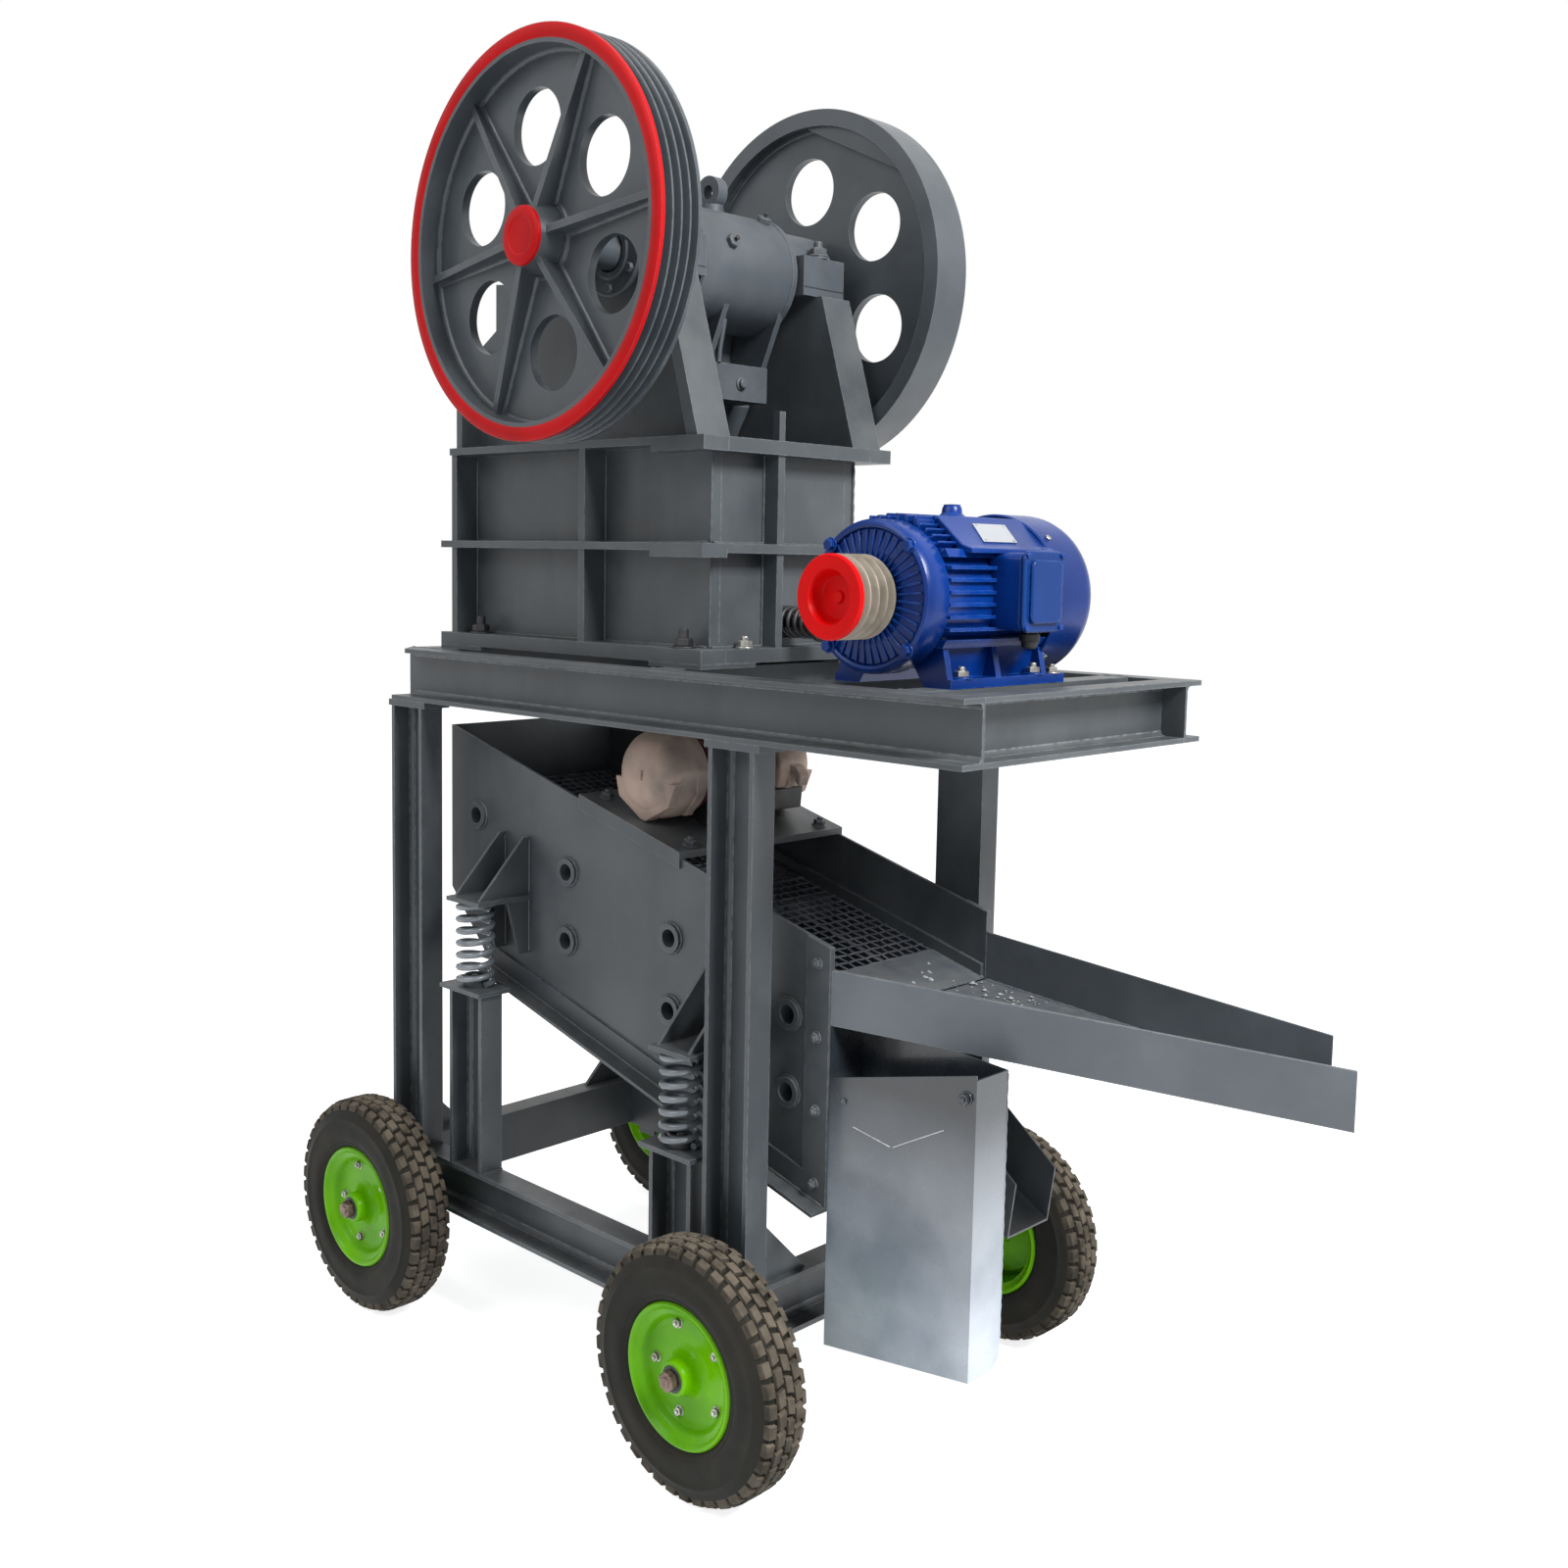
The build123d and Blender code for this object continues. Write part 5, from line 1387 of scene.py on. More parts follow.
    def _pulley(self) -> None:
        """Turns the pulley: a dished red face and bare grooves."""
        centre = self._at(0, 0, 0)
        r, front, back = self.pulley_radius, self.pulley_front, self.pulley_back
        form = Form("pulley_face").use(PULLEY_RED)
        form.turned([
            (0, front + 20), (8, front + 20), (10, front + 24), (22, front + 25), (31, front + 24),
            (34.5, front + 20), (37, front + 10), (39, front + 2), (40.5, front), (r - 2.5, front),
            (r, front + 2.2), (r, front + 7), (r - 6, front + 8.5), (46, front + 8.5), (40, front + 28),
            (0, front + 28),
        ], centre, steps=96)
        form.done(Body.ROTOR, Slot.PULLEY, angle=28)
        form = Form("pulley_grooves").use(PULLEY_BARE)
        groove = [(0.3, 8.2), (0, 7.6), (1.6, 6.4), (12, 3.6), (13, 2.4)]
        profile = [(46, front + 7), (r - 1, front + 7)]
        for k in range(self.grooves):
            y = (front + back) / 2 + (k - (self.grooves - 1) / 2) * self.groove_pitch
            profile += [(r - depth, y - half) for depth, half in groove]
            profile += [(r - depth, y + half) for depth, half in reversed(groove)]
        profile += [(r - 1, back - 1), (r - 2, back), (24, back), (24, back + 10), (20, back + 11),
                    (20, front + 30), (46, front + 30)]
        form.turned(profile, centre, steps=96)
        form.done(Body.ROTOR, Slot.PULLEY, ("motor_pulley",), angle=40)


@dataclass
class RoadWheel:
    """One road wheel: treaded tyre, deep lime rim, bolts, bearing seal and axle nut."""

    body: Body
    x: float
    far: bool
    radius: float = 205.0
    outer: float = -125.0
    inner: float = -30.0
    width: float = WIDTH
    bolt_circle: float = 75.0
    bolt_angle: float = 110.0
    bolts: int = 5
    lugs: int = 40
    shoulder_fall: float = 4.2

    def build(self) -> None:
        """Builds the wheel's pieces on its own body."""
        name = self.body.value.removesuffix("_wheel")
        self._tyre(name)
        self._tread(name)
        self._rim(name)
        self._hub(name)
        self._axle_nut(name)

    def _side(self, y: float) -> float:
        """Gives the place of a near side Y on this wheel's own side."""
        return self.width - y if self.far else y

    def _centre(self) -> Point:
        """Gives the wheel's middle on the plane Y 0."""
        return (self.x, 0.0, self.radius)

    def _turned(self, form: Form, profile: Profile, steps: int = 96) -> None:
        """Turns a near side profile about this wheel's axle."""
        form.turned([(r, self._side(y)) for r, y in profile], self._centre(), steps=steps)

    def _tyre(self, name: str) -> None:
        """Turns the carcass with its bulging sidewalls and moulded rings.

        Args:
            name: Which wheel it is.
        """
        form = Form(f"{name}_tyre_body").use(TYRE)
        half = (self.inner - self.outer) / 2
        middle = (self.inner + self.outer) / 2
        side = [(113, 37.5), (119, 42.5), (124, 45.5), (126, 45.0), (128.5, 46.8), (140, 47.4), (152, 47.4),
                (164, 46.6), (166, 47.4), (169, 47.2), (170, 45.8), (179, 43.4), (186, 40.4), (191, 36.5),
                (194.5, 31.0), (196.4, 22.0), (197.2, 11.0)]
        profile = [(r, middle - a * half / 47.5) for r, a in side] + [(197.4, middle)]
        profile += [(r, middle + a * half / 47.5) for r, a in reversed(side)]
        self._turned(form, profile, 112)
        form.done(self.body, Slot.TYRE, (f"{name}_tyre",), angle=40)

    def _tread(self, name: str) -> None:
        """Sets the staggered centre blocks and the shoulder lugs round the tyre.

        Args:
            name: Which wheel it is.
        """
        form = Form(f"{name}_tread").use(TREAD)
        step = 2 * math.pi / self.lugs
        # Place across the tyre, half width, stagger, skew, share of the pitch, top and root of each row.
        rows = (
            (-17.5, 8.4, 0.0, 0.12, 0.84, 204.6, 197.0),
            (0.0, 8.2, 0.5, -0.12, 0.84, self.radius, 197.0),
            (17.5, 8.4, 1.0, 0.12, 0.84, 204.6, 196.0),
            (-33.4, 7.0, 0.5, 0.05, 0.8, 201.6, 184.0),
            (33.4, 7.0, 0.5, -0.05, 0.8, 201.6, 184.0),
        )
        for along, half, stagger, skew, share, top, root in rows:
            shape = (along, half, skew * step, share * step)
            for k in range(self.lugs):
                turn = (k + stagger) * step
                foot = self._lug_ring(form, turn, root, 1.0, shape)
                form.skin([foot, self._lug_ring(form, turn, top, 0.84, shape)])
        form.done(self.body, Slot.TYRE, bevel=0.9, segments=1, angle=30)

    def _lug_ring(self, form: Form, turn: float, radius: float, shrink: float,
                  shape: tuple[float, float, float, float]) -> Loop:
        """Adds the four corners of a lug's foot or top.

        Args:
            form: The mesh that gets them.
            turn: The lug's angle in radians.
            radius: Their radius.
            shrink: A factor on the lug's size; under 1 at its top.
            shape: The lug's place across the tyre, half width, skew and length, the last two in radians.

        Returns:
            The corners.
        """
        along, half, skew, length = shape
        middle = (self.inner + self.outer) / 2
        corners = []
        for s, t in ((-1, -1), (1, -1), (1, 1), (-1, 1)):
            angle = turn + length / 2 * s * shrink + skew / 2 * t
            falls = abs(along) > 30 and t * along > 0 and shrink < 1
            y = self._side(middle + along + half * t * shrink)
            corners.append(Form.spun(self._centre(), Line.Y, radius - self.shoulder_fall * falls, angle, y))
        return form.loop(corners)

    def _rim(self, name: str) -> None:
        """Presses the deep rim with its rolled lip and stepped dish.

        Args:
            name: Which wheel it is.
        """
        form = Form(f"{name}_rim_dish").use(GREEN)
        outer, inner = self.outer, self.inner
        lip = [(104, 9), (106, 5.5), (109, 3.2), (112.5, 3.6), (114.6, 6.5), (114.8, 10), (113.5, 13)]
        dish = [(31, 32), (60, 32), (78, 31.5), (85, 28.5), (88.5, 24), (91, 17), (95, 13), (100.5, 11.5)]
        profile = facing(dish + lip, outer, 1.0) + facing(lip[::-1], inner, -1.0)
        profile += [(96, inner - 14), (92, outer + 30), (84, outer + 37.5), (31, outer + 38)]
        self._turned(form, profile)
        form.done(self.body, Slot.RIM, (f"{name}_rim",), angle=30)

    def _hub(self, name: str) -> None:
        """Adds the bearing hub, its seal and the bolts of the dish.

        Args:
            name: Which wheel it is.
        """
        form = Form(f"{name}_hub").use(GREEN)
        outer, inner = self.outer, self.inner
        boss = [(13, -4), (23, -4.5), (26.5, -3), (28, 0), (28.8, 14), (32, 26), (38, 31), (46, 32.4),
                (46, 37), (30, 37)]
        seal = [(13, -4), (20, -4.4), (21.4, -5.6), (20, -7), (13, -7)]
        self._turned(form, facing(boss, outer, 1.0) + [(30, inner - 3), (27, inner - 2), (13, inner - 2)], 64)
        self._turned(form.use(DARK), facing(seal, outer, 1.0), 48)
        form.use(STEEL)
        for k in range(self.bolts):
            turn = math.radians(self.bolt_angle + 360 / self.bolts * k)
            seat = Form.spun(self._centre(), Line.Y, self.bolt_circle, turn, self._side(outer + 32))
            form.bolt(tuple(seat), (0, self._out(), 0), 8, stub=0.35)
        form.done(self.body, Slot.RIM, bevel=0.5, angle=36)

    def _out(self) -> float:
        """Gives the way that this wheel's outer face points."""
        return 1.0 if self.far else -1.0

    def _axle_nut(self, name: str) -> None:
        """Adds the nut on the end of the wheel's pin.

        Args:
            name: Which wheel it is.
        """
        form = Form(f"{name}_axle_nut").use(RUST)
        seat, root = (Vector((self.x, self._side(self.outer + y), self.radius)) for y in (-7, 6))
        form.bolt(tuple(seat), (0, self._out(), 0), 18, washer=False, stub=0.12)
        form.tube([root, seat], 10.5, 20)
        form.done(Body.CHASSIS, Slot.FRAME, bevel=0.8)


@dataclass
class Screen:
    """The vibrating screen: side plates, tubes, woven decks, springs and the vibrator."""

    left: float = 41.0
    right: float = 1060.0
    top: float = 1127.0
    slope: float = math.tan(SCREEN_ANGLE)
    sides: tuple[tuple[float, float], ...] = ((112.0, -1.0), (520.0, 1.0))
    inside: tuple[float, float] = (118.0, 514.0)
    depth: float = 427.0
    tubes: tuple[float, ...] = (132.0, 408.0, 689.0, 972.0)
    tube_radius: float = 25.0
    upper_drop: float = 146.0
    row_gap: float = 128.0
    mesh_drop: float = 117.0
    mesh_start: float = 51.0
    mesh_end: float = 955.0
    lower_start: float = 300.0
    pitch: float = 21.0
    lower_pitch: float = 16.0
    band_run: tuple[float, float] = (180.0, 1052.0)
    strip_bolts: tuple[float, ...] = (0.08, 0.36, 0.64, 0.92)
    bridge_bolt_x: tuple[float, float] = (470.0, 690.0)
    bridge_bolt_y: tuple[float, float] = (150.0, 482.0)
    vibrator: tuple[float, float] = (585.0, 1080.3)
    cover_ends: tuple[float, float] = (130.0, 502.0)

    def build(self) -> None:
        """Paints the box and adds its decks, springs, vibrator and small parts."""
        for node in ("near_side_plate", "far_side_plate", "screen_rear_plate", "bottom_pan",
                     "vibrator_bridge", "spring_brackets"):
            dress(node, GREY, 1.0)
        dress("cross_tubes", GREY, 1.2)
        self._decks()
        self._tube_rings()
        self._welds()
        self._bolts()
        self._springs()
        self._vibrator()
        self._vibrator_covers()

    def height(self, x: float, drop: float = 0.0) -> float:
        """Gives the height of a line a drop below the top edge at x."""
        return self.top - self.slope * (x - self.left) - drop

    def _strip(self, form: Form, run: tuple[float, float], drops: tuple[float, float],
               across: tuple[float, float]) -> None:
        """Adds a flat bar that follows the screen's slope.

        Args:
            form: The mesh that gets it.
            run: Where it begins and ends along the screen.
            drops: How far its two faces lie below the top edge, first the lower one.
            across: Where it begins and ends in Y.
        """
        (x0, x1), (low, high) = run, drops
        outline = [(x, self.height(x, drop)) for x, drop in ((x0, low), (x1, low), (x1, high), (x0, high))]
        form.prism(outline, *across)

    def _decks(self) -> None:
        """Weaves the wire of both decks over their stringers."""
        form = Form("upper_wire_deck").use(WIRE)
        (y0, y1), x0, x1, end = self.inside, self.mesh_start, self.right - 4, self.mesh_end
        self._woven(form, (x0, end), self.mesh_drop, self.pitch, 2.1, 6)
        under = self.mesh_drop + 2.6
        self._strip(form.use(TRAY), (end - 6, self.right - 1), (under - 5, under - 1.5), (y0 + 1, y1 - 1))
        form.use(GREY)
        for y in (y0, y1 - 7):
            self._strip(form, (x0, x1), (under - 26, under), (y, y + 7))
        for share in (1 / 3, 2 / 3):
            y = y0 + (y1 - y0 - 8) * share
            self._strip(form, (x0, end), (under - 1, under + 1), (y, y + 8))
        form.done(Body.SCREEN, Slot.WIRE, ("upper_mesh",), angle=60)
        form = Form("lower_wire_deck").use(WIRE)
        drop = self.upper_drop + self.row_gap - self.tube_radius / math.cos(SCREEN_ANGLE) - 3
        self._woven(form, (self.lower_start, self.right - 5), drop, self.lower_pitch, 1.8, 4)
        form.done(Body.SCREEN, Slot.WIRE, ("lower_mesh",), angle=60)

    def _woven(self, form: Form, run: tuple[float, float], drop: float, pitch: float, wire: float,
               sides: int) -> None:
        """Weaves crimped wires both ways between the side plates.

        Args:
            form: The mesh that gets them.
            run: Where the deck begins and ends along the screen.
            drop: How far it lies below the top edge.
            pitch: Distance between wires.
            wire: The wire's radius.
            sides: Corners of the wire's section.
        """
        (x0, x1), (y0, y1), crimp = run, self.inside, 0.4 * wire
        across = int((y1 - y0) / pitch)
        along = int((x1 - x0) / pitch)
        place_y = [y0 + (y1 - y0) * (k + 0.5) / across for k in range(across)]
        place_x = [x0 + (x1 - x0) * (k + 0.5) / along for k in range(along)]
        for i, y in enumerate(place_y):
            path = [Vector((x, y, self.height(x, drop) + crimp * (1 if (i + j) % 2 else -1)))
                    for j, x in enumerate(place_x)]
            ends = [Vector((x, y, self.height(x, drop))) for x in (x0, x1)]
            form.tube([ends[0], *path, ends[1]], wire, sides)
        for j, x in enumerate(place_x):
            path = [Vector((x, y, self.height(x, drop) - crimp * (1 if (i + j) % 2 else -1)))
                    for i, y in enumerate(place_y)]
            ends = [Vector((x, y, self.height(x, drop))) for y in (y0 + 0.5, y1 - 0.5)]
            form.tube([ends[0], *path, ends[1]], wire, sides)

    def _tube_rings(self) -> None:
        """Rings each tube's end with its weld."""
        form = Form("tube_welds").use(GREY)
        centres = [(x, self.height(x, self.upper_drop)) for x in self.tubes]
        centres += [(x, self.height(x, self.upper_drop + self.row_gap)) for x in self.tubes[1:]]
        radius, count = self.tube_radius + 1.0, 30
        swell = [0.9 + 0.18 * math.sin(k * 2.3) for k in range(count)]
        for x, z in centres:
            for side, way in self.sides:
                centre = (x, side + way / 2, z)
                ring = [Form.spun(centre, Line.Y, radius, 2 * math.pi * k / count, 0) for k in range(count)]
                form.tube(ring, 3.2, 6, closed=True, swell=swell)
        form.done(Body.SCREEN, Slot.FRAME, angle=60)

    def _welds(self) -> None:
        """Lays beads on the brackets and along the bottom bands."""
        form = Form("screen_welds").use(GREY)
        for side, way in self.sides:
            y = side + way
            for x, seat in SPRING_SEATS:
                middle, under = x + 10, seat + SPRING_LENGTH
                for edge in (middle - 40, middle - 34, middle + 34, middle + 40):
                    form.weld((edge, y, under - 100), (edge, y, under + 112), 2.8)
                form.weld((middle - 49, y, under + 9), (middle + 49, y, under + 9), 3.2)
            start, end = ((x, side + way * 6, self.height(x, self.depth - 7)) for x in self.band_run)
            form.weld(start, end, 3.0)
        form.done(Body.SCREEN, Slot.FRAME, angle=60)

    def _bolts(self) -> None:
        """Bolts the strips at the low end and the vibrator's bridge."""
        form = Form("screen_bolts").use(GREY)
        x = self.right - 25
        for side, way in self.sides:
            for share in self.strip_bolts:
                form.bolt((x, side + way * 5, self.height(x, self.depth * share)), (0, way, 0), 9, stub=0.3)
        for x in self.bridge_bolt_x:
            for y in self.bridge_bolt_y:
                form.bolt((x, y, self.height(x, -12)), (self.slope, 0, 1), 12, stub=0.4)
        form.done(Body.SCREEN, Slot.FRAME, bevel=0.4)

    def _springs(self) -> None:
        """Winds the four round-wire springs that stand between post and bracket."""
        for node, (x, seat) in zip(("left_screen_springs", "right_screen_springs"), SPRING_SEATS):
            form = Form(f"{node}_coils").use(SPRING)
            for y in SPRING_Y:
                form.tube(coil((x, y, seat), SPRING_LENGTH, 31.0, 12.0, 7.2), 6.0, 12)
            piece = form.done(None, Slot.SPRING, (node,), angle=80)
            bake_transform(piece)

    def _vibrator(self) -> None:
        """Builds the vibrator's ribbed body on its foot."""
        x, z = self.vibrator
        form = Form("vibrator_body").use(MAROON)
        rib = [(40, -3), (70, -3), (72, -1.5), (72, 1.5), (70, 3), (40, 3)]
        for k in range(9):
            form.turned(facing(rib, 236.0 + 20.0 * k, 1.0), (x, 0, z))
        form.use(DARK).turned([(0, 226), (64, 226), (64, 406), (0, 406)], (x, 0, z), steps=64)
        low, high, lift = x - 75, x + 75, -12.2
        foot = [(low, self.height(low, lift)), (high, self.height(high, lift)),
                (high, self.height(high, -28)), (x + 52, z - 30), (x - 52, z - 30),
                (low, self.height(low, -28))]
        for y0, y1 in ((245.0, 275.0), (357.0, 387.0)):
            form.prism(foot, y0, y1)
        form.use(STEEL)
        for y in (260.0, 372.0):
            for side in (x - 64, x + 64):
                form.bolt((side, y, self.height(side, -28)), (self.slope, 0, 1), 14)
        form.done(Body.SCREEN, Slot.VIBRATOR, ("vibrator_motor",), bevel=1.2)

    def _vibrator_covers(self) -> None:
        """Folds the dusty covers over both ends of the vibrator."""
        x, z = self.vibrator
        form = Form("vibrator_covers").use(DUSTY)
        tip = self.height(x, -13.5) - z
        shell = [(0, 1), (34, 1.5), (52, 4), (66, 12), (75, 24), (79.5, 40), (80, 60), (79, 88), (75, 94),
                 (60, 96), (0, 96)]
        beak = [(-79, -8), (-70, -44), (-12, tip + 3), (2, tip), (60, -52), (78, -10)]
        fold = [(-78, 10), (-78, -30), (-40, -78), (50, -72), (80, -30), (80, 10)]
        lug = [(60, 12), (96, 2), (108, -14), (104, -34), (94, -26), (90, -12), (66, -22)]
        for end, way in zip(self.cover_ends, (1.0, -1.0)):
            form.turned(facing(shell, end, way), (x, 0, z), steps=80)
            for outline, first, last in ((beak, 9, 34), (fold, 62, 78), (lug, 52, 76)):
                if outline is not lug or way < 0:
                    low, high = sorted((end + way * first, end + way * last))
                    form.prism([(x + a, z + b) for a, b in outline], low, high)
        stain = [(x - 4, z - 10), (x + 4, z - 10), (x + 5, z + 10), (x - 3, z + 10)]
        form.use(RUST).prism(stain, 130.6, 134.5)
        cheek = [(x - 30, z - 26), (x + 74, z - 40), (x + 70, z - 80), (x - 20, self.height(x - 20, -12.5))]
        form.use(DARK).prism(cheek, 392.0, 470.0)
        form.done(Body.SCREEN, Slot.VIBRATOR, bevel=3.0, segments=3)


@dataclass
class Discharge:
    """The oversize tray with its stone chips, the middle chute and the fines chute."""

    left: float = 1060.0
    edge: float = 823.7
    fall: float = math.tan(math.radians(4.2))
    wall: float = 88.0
    near_run: tuple[tuple[float, float], ...] = ((1060.0, 112.0), (1784.0, 398.0))
    far_run: tuple[tuple[float, float], ...] = ((1060.0, 520.0), (1690.0, 520.0))
    chute_x: tuple[float, float] = (1060.0, 1346.0)
    chute_y: tuple[float, float] = (112.0, 190.0)
    chute_open: float = 650.0
    chute_rise: float = 72.0
    scratches: tuple[tuple[float, float, float, float], ...] = (
        (1110.0, 585.0, 1186.0, 573.0), (1190.0, 573.0, 1288.0, 626.0),
    )
    sheet_slope: float = math.tan(SCREEN_ANGLE)
    chips: int = 280
    chip_run: tuple[float, float] = (90.0, 240.0)
    chip_y: tuple[float, float] = (16.0, 498.0)
    chip_lean: float = 0.395
    chip_size: tuple[float, float] = (1.8, 6.0)

    def build(self) -> None:
        """Paints the sheets and adds their lips, welds, bolts and chips."""
        dress("oversize_tray", TRAY, 0.9)
        dress("mid_chute", CHUTE, 0.8)
        dress("fines_chute", GREY, 0.8)
        self._sheet_seams()
        self._chips()

    def floor(self, x: float, rise: float = 0.0) -> float:
        """Gives the height of a line a rise above the tray's floor at x."""
        return self.edge - self.wall + rise - self.fall * (x - self.left)

    def _sheet_seams(self) -> None:
        """Adds the tray's corner welds, the chute's sloping sheet, its seam, bolts and scratch mark."""
        form = Form("discharge_seams").use(TRAY)
        for ((x0, y0), (x1, y1)), way in ((self.near_run, 5.0), (self.far_run, -5.0)):
            form.weld((x0 + 4, y0 + way, self.floor(x0, 4)), (x1 - 12, y1 + way, self.floor(x1, 4)), 3.0)
        (x0, x1), (y0, y1), z = self.chute_x, self.chute_y, self.chute_open
        # This sloping sheet lies above 0.65 m, so its chute paint shows the dark painted shade there.
        form.use(CHUTE)
        sheet = [(x0, z - 1), (x1 - 1, z - 1), (x1 - 1, z + self.chute_rise), (x0, z + 2)]
        form.prism(sheet, y0 + 0.1, y0 + 2.9)
        form.weld((x1 - 1, y1 - 1, 300), (x1 - 1, y1 - 1, self.floor(x1) - 6), 2.2)
        form.bolt((1327.0, y0 + 0.2, 684.0), (0, -1, 0), 10, stub=0.3)
        form.bolt((1091.0, y0 + 0.2, 621.0), (0, -1, 0), 6, washer=False, stub=0.2)
        form.use(PLATE)
        for first, low, last, high in self.scratches:
            form.weld((first, y0, low), (last, y0, high), 1.2)
        form.done(Body.SCREEN, Slot.FRAME, bevel=0.5)

    def surface(self, x: float) -> float:
        """Gives the height of the sheet that stones lie on at x."""
        return self.floor(x, 4.0) + max(0.0, self.left - x) * (self.sheet_slope - self.fall) + 1.0

    def _chips(self) -> None:
        """Scatters the crushed stone that lies at the head of the tray."""
        form = Form("stone_chips").use(STONE)
        draw = random.Random(7)
        before, reach = self.chip_run
        margin, far = self.chip_y
        least, spread = self.chip_size
        for _ in range(self.chips):
            x = self.left - before + reach * draw.random()
            low = self.near_run[0][1] + max(0.0, x - self.left) * self.chip_lean + margin
            y = low + (far - low) * draw.random()
            size = least + spread * draw.random() ** 4
            self._chip(form, Vector((x, y, self.surface(x) + size * 0.35)), size, draw)
        form.done(Body.SCREEN, Slot.FRAME, angle=20)

    @staticmethod
    def _chip(form: Form, centre: Vector, size: float, draw: random.Random) -> None:
        """Adds one broken stone.

        Args:
            form: The mesh that gets it.
            centre: Its middle.
            size: Its mean radius.
            draw: The seeded source of its corners.
        """
        top, under = form.loop([
            centre + Vector((0, 0, size * (0.5 + 0.3 * draw.random()))), centre - Vector((0, 0, size * 0.5))])
        turn = draw.random() * 6.28
        corners = []
        for k in range(5):
            angle = turn + k * 1.257
            out = Vector((math.cos(angle), math.sin(angle), 0.25 * (draw.random() - 0.5)))
            corners.append(centre + out * size * (0.7 + 0.6 * draw.random()))
        ring = form.loop(corners)
        form.bridge([top], ring)
        form.bridge([under], ring)


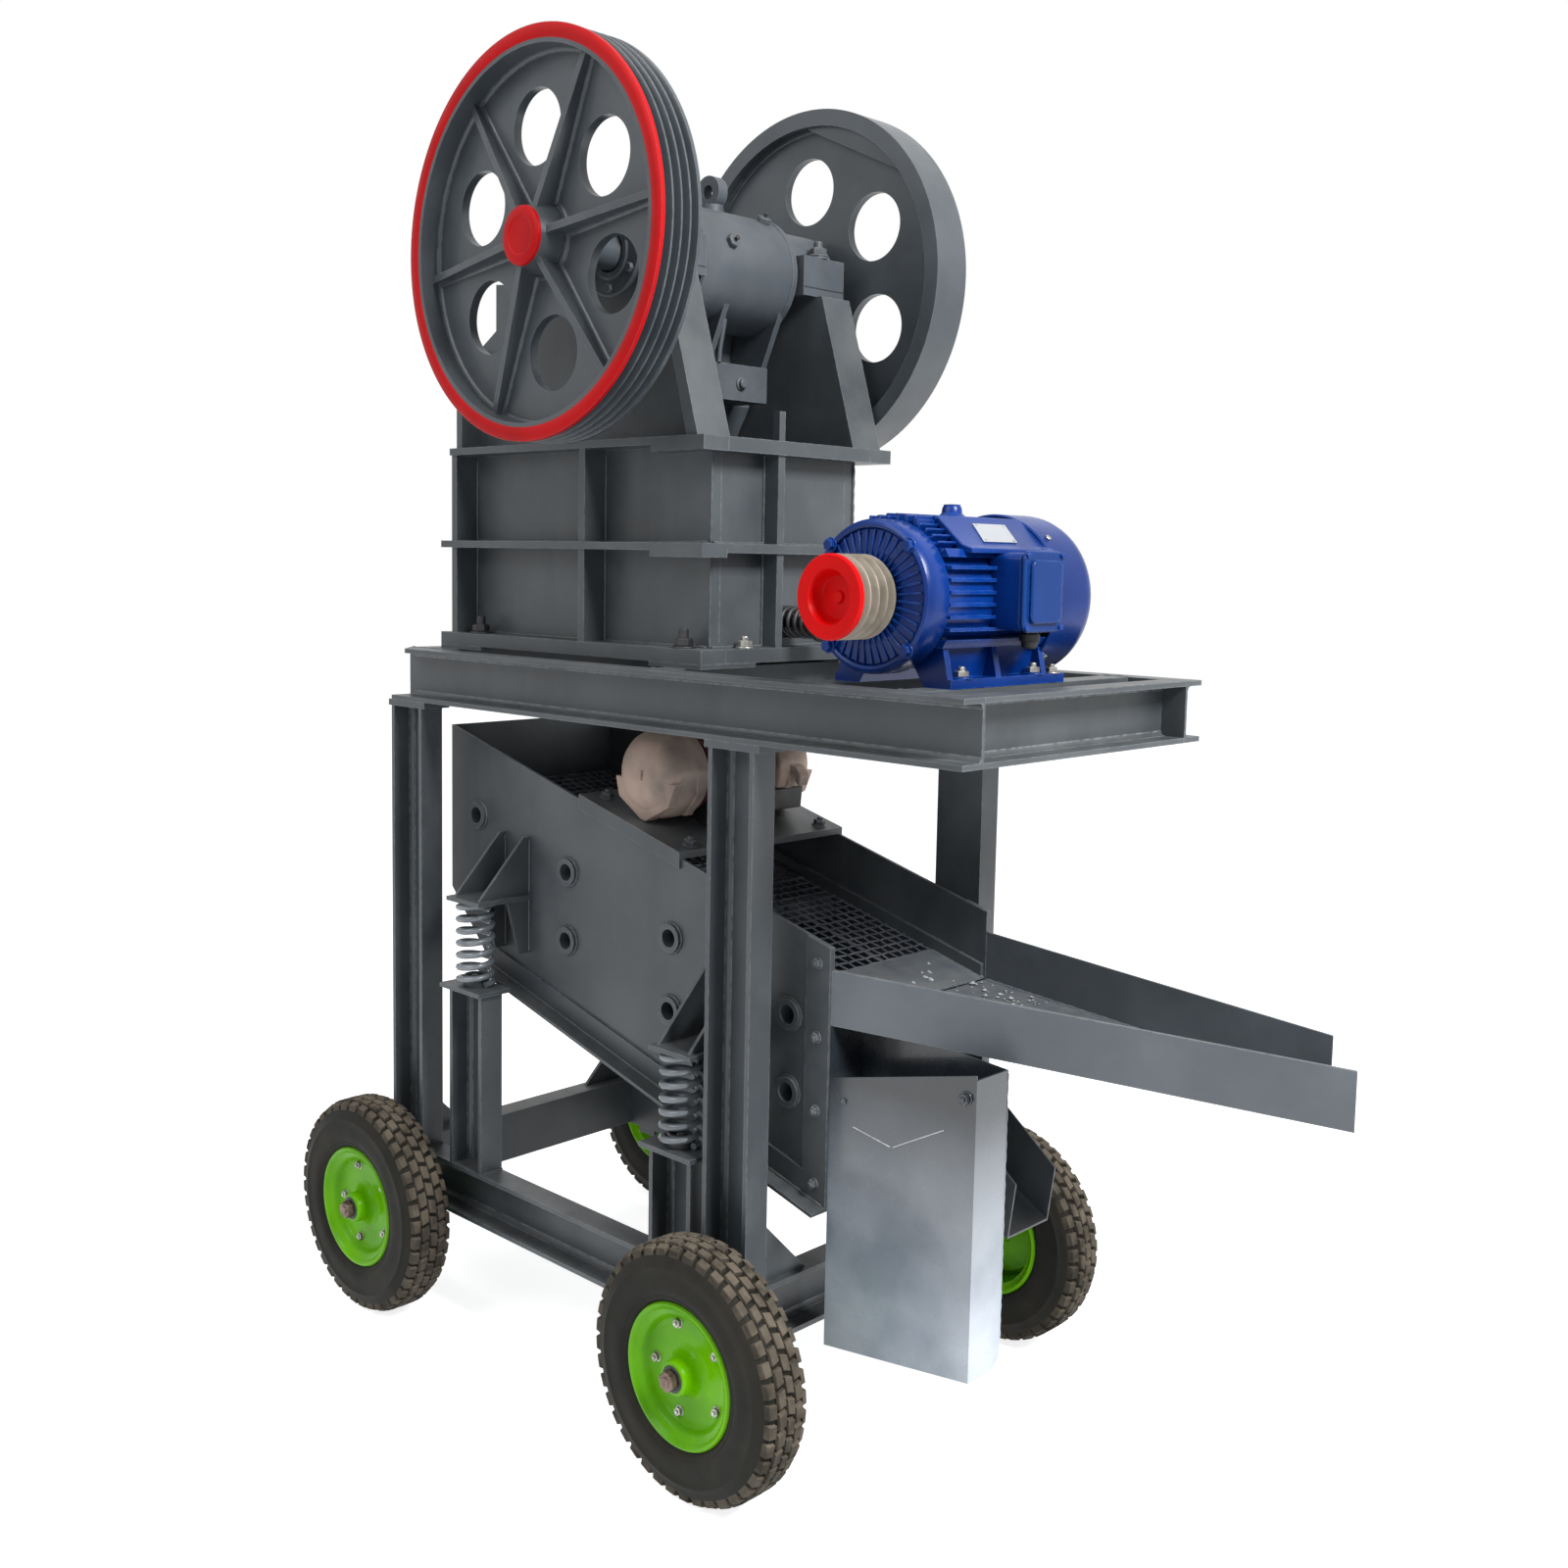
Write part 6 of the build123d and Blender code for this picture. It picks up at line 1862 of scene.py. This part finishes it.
@dataclass
class Studio:
    """The plain floor, the soft lights and the camera."""

    place: Point = (1.9104, -2.0805, 1.4620)
    azimuth: float = 44.157
    elevation: float = 5.784
    roll: float = 1.029
    lens: float = 37.506
    shift: tuple[float, float] = (0.0125, -0.0375)
    floor: Colour = (0.8, 0.8, 0.8)
    floor_size: float = 14.0
    floor_glow: float = 0.8
    sky: float = 0.36
    sky_colour: Colour = (0.93, 0.96, 1.0)
    lamp_aim: Point = (0.0, 0.0, 1.1)
    lamps: tuple[tuple[str, Point, float, float], ...] = (
        ("key", (-0.8, -4.2, 4.6), 3.0, 100.0), ("high_right", (3.9, -0.3, 4.4), 1.6, 430.0),
    )

    def build(self) -> None:
        """Sets up the floor, the world, the lamps and the camera."""
        scene = bpy.context.scene
        scene.view_settings.view_transform = "Standard"
        self._ground(scene)
        self._world(scene)
        for name, place, size, power in self.lamps:
            self._lamp(name, place, size, power)
        self._camera(scene)

    def _ground(self, scene: bpy.types.Scene) -> None:
        """Lays the pale floor.

        Args:
            scene: The scene that gets it.
        """
        form = bmesh.new()
        bmesh.ops.create_grid(form, x_segments=1, y_segments=1, size=self.floor_size)
        data = bpy.data.meshes.new("floor")
        form.to_mesh(data)
        form.free()
        paint = bpy.data.materials.new("pale_floor")
        paint.use_nodes = True
        nodes, links = paint.node_tree.nodes, paint.node_tree.links
        shader = nodes["Principled BSDF"]
        shader.inputs["Base Color"].default_value = (*self.floor, 1.0)
        shader.inputs["Roughness"].default_value = 0.9
        glow = nodes.new("ShaderNodeEmission")
        glow.inputs["Color"].default_value = (1.0, 1.0, 1.0, 1.0)
        both = nodes.new("ShaderNodeAddShader")
        strength = nodes.new("ShaderNodeMath")
        strength.operation = "MULTIPLY"
        strength.inputs[1].default_value = self.floor_glow
        links.new(self._direct(paint.node_tree), strength.inputs[0])
        links.new(strength.outputs["Value"], glow.inputs["Strength"])
        links.new(shader.outputs["BSDF"], both.inputs[0])
        links.new(glow.outputs["Emission"], both.inputs[1])
        links.new(both.outputs["Shader"], nodes["Material Output"].inputs["Surface"])
        data.materials.append(paint)
        ground = bpy.data.objects.new("floor", data)
        scene.collection.objects.link(ground)

    @staticmethod
    def _direct(tree: bpy.types.NodeTree) -> bpy.types.NodeSocket:
        """Gives 1 for rays that show the backdrop and 0 for those that light the set.

        Args:
            tree: The node tree that gets the nodes.

        Returns:
            The socket with the value.
        """
        rays = tree.nodes.new("ShaderNodeLightPath")
        value = rays.outputs["Is Camera Ray"]
        for kind in ("Is Glossy Ray", "Is Transmission Ray"):
            either = tree.nodes.new("ShaderNodeMath")
            either.operation = "MAXIMUM"
            tree.links.new(value, either.inputs[0])
            tree.links.new(rays.outputs[kind], either.inputs[1])
            value = either.outputs["Value"]
        return value

    def _world(self, scene: bpy.types.Scene) -> None:
        """Lights the set evenly and shows white behind it.

        Args:
            scene: The scene that gets the world.
        """
        world = bpy.data.worlds.new("studio")
        scene.world = world
        world.use_nodes = True
        nodes, links = world.node_tree.nodes, world.node_tree.links
        lit = nodes["Background"]
        lit.inputs["Color"].default_value = (*self.sky_colour, 1.0)
        lit.inputs["Strength"].default_value = self.sky
        shown = nodes.new("ShaderNodeBackground")
        shown.inputs["Color"].default_value = (1.0, 1.0, 1.0, 1.0)
        mixed = nodes.new("ShaderNodeMixShader")
        links.new(self._direct(world.node_tree), mixed.inputs["Fac"])
        links.new(lit.outputs["Background"], mixed.inputs[1])
        links.new(shown.outputs["Background"], mixed.inputs[2])
        links.new(mixed.outputs["Shader"], nodes["World Output"].inputs["Surface"])

    def _lamp(self, name: str, place: Point, size: float, power: float) -> None:
        """Hangs one soft area lamp that faces the set.

        Args:
            name: The lamp's name.
            place: Where it hangs, in metres.
            size: The side of its square.
            power: Its power in watts.
        """
        data = bpy.data.lights.new(name, "AREA")
        data.size = size
        data.energy = power
        lamp = bpy.data.objects.new(name, data)
        lamp.location = place
        lamp.rotation_euler = (Vector(self.lamp_aim) - Vector(place)).to_track_quat("-Z", "Y").to_euler()
        bpy.context.scene.collection.objects.link(lamp)

    def _camera(self, scene: bpy.types.Scene) -> None:
        """Stands the camera at the photograph's angle.

        Args:
            scene: The scene that gets the camera.
        """
        turn, down, lean = (math.radians(value) for value in (self.azimuth, self.elevation, self.roll))
        ahead = Vector((-math.sin(turn) * math.cos(down), math.cos(turn) * math.cos(down), -math.sin(down)))
        level = ahead.cross(Vector((0.0, 0.0, 1.0))).normalized()
        upright = level.cross(ahead)
        right = level * math.cos(lean) + upright * math.sin(lean)
        up = right.cross(ahead)
        data = bpy.data.cameras.new("camera")
        data.lens = self.lens
        data.sensor_width = 36.0
        data.sensor_fit = "HORIZONTAL"
        data.shift_x, data.shift_y = self.shift
        camera = bpy.data.objects.new("camera", data)
        camera.matrix_world = Matrix((
            (right.x, up.x, -ahead.x, self.place[0]),
            (right.y, up.y, -ahead.y, self.place[1]),
            (right.z, up.z, -ahead.z, self.place[2]),
            (0.0, 0.0, 0.0, 1.0),
        ))
        scene.collection.objects.link(camera)
        scene.camera = camera


def main() -> None:
    """Builds every sub-assembly in order and reports it."""
    logging.basicConfig(level=logging.INFO, format="%(name)s %(message)s")
    assemblies = [Chassis(), CrusherBody(), Flywheels(), Jaw(), Motor()]
    for body, x, far in ((Body.NEAR_LEFT, 50.0, False), (Body.NEAR_RIGHT, 965.0, False),
                         (Body.FAR_LEFT, 50.0, True), (Body.FAR_RIGHT, 965.0, True)):
        assemblies.append(RoadWheel(body, x, far))
    assemblies += [Screen(), Discharge()]
    for assembly in assemblies:
        log.info("assembly %s", type(assembly).__name__)
        assembly.build()
    Studio().build()


if __name__ == "__main__":
    main()
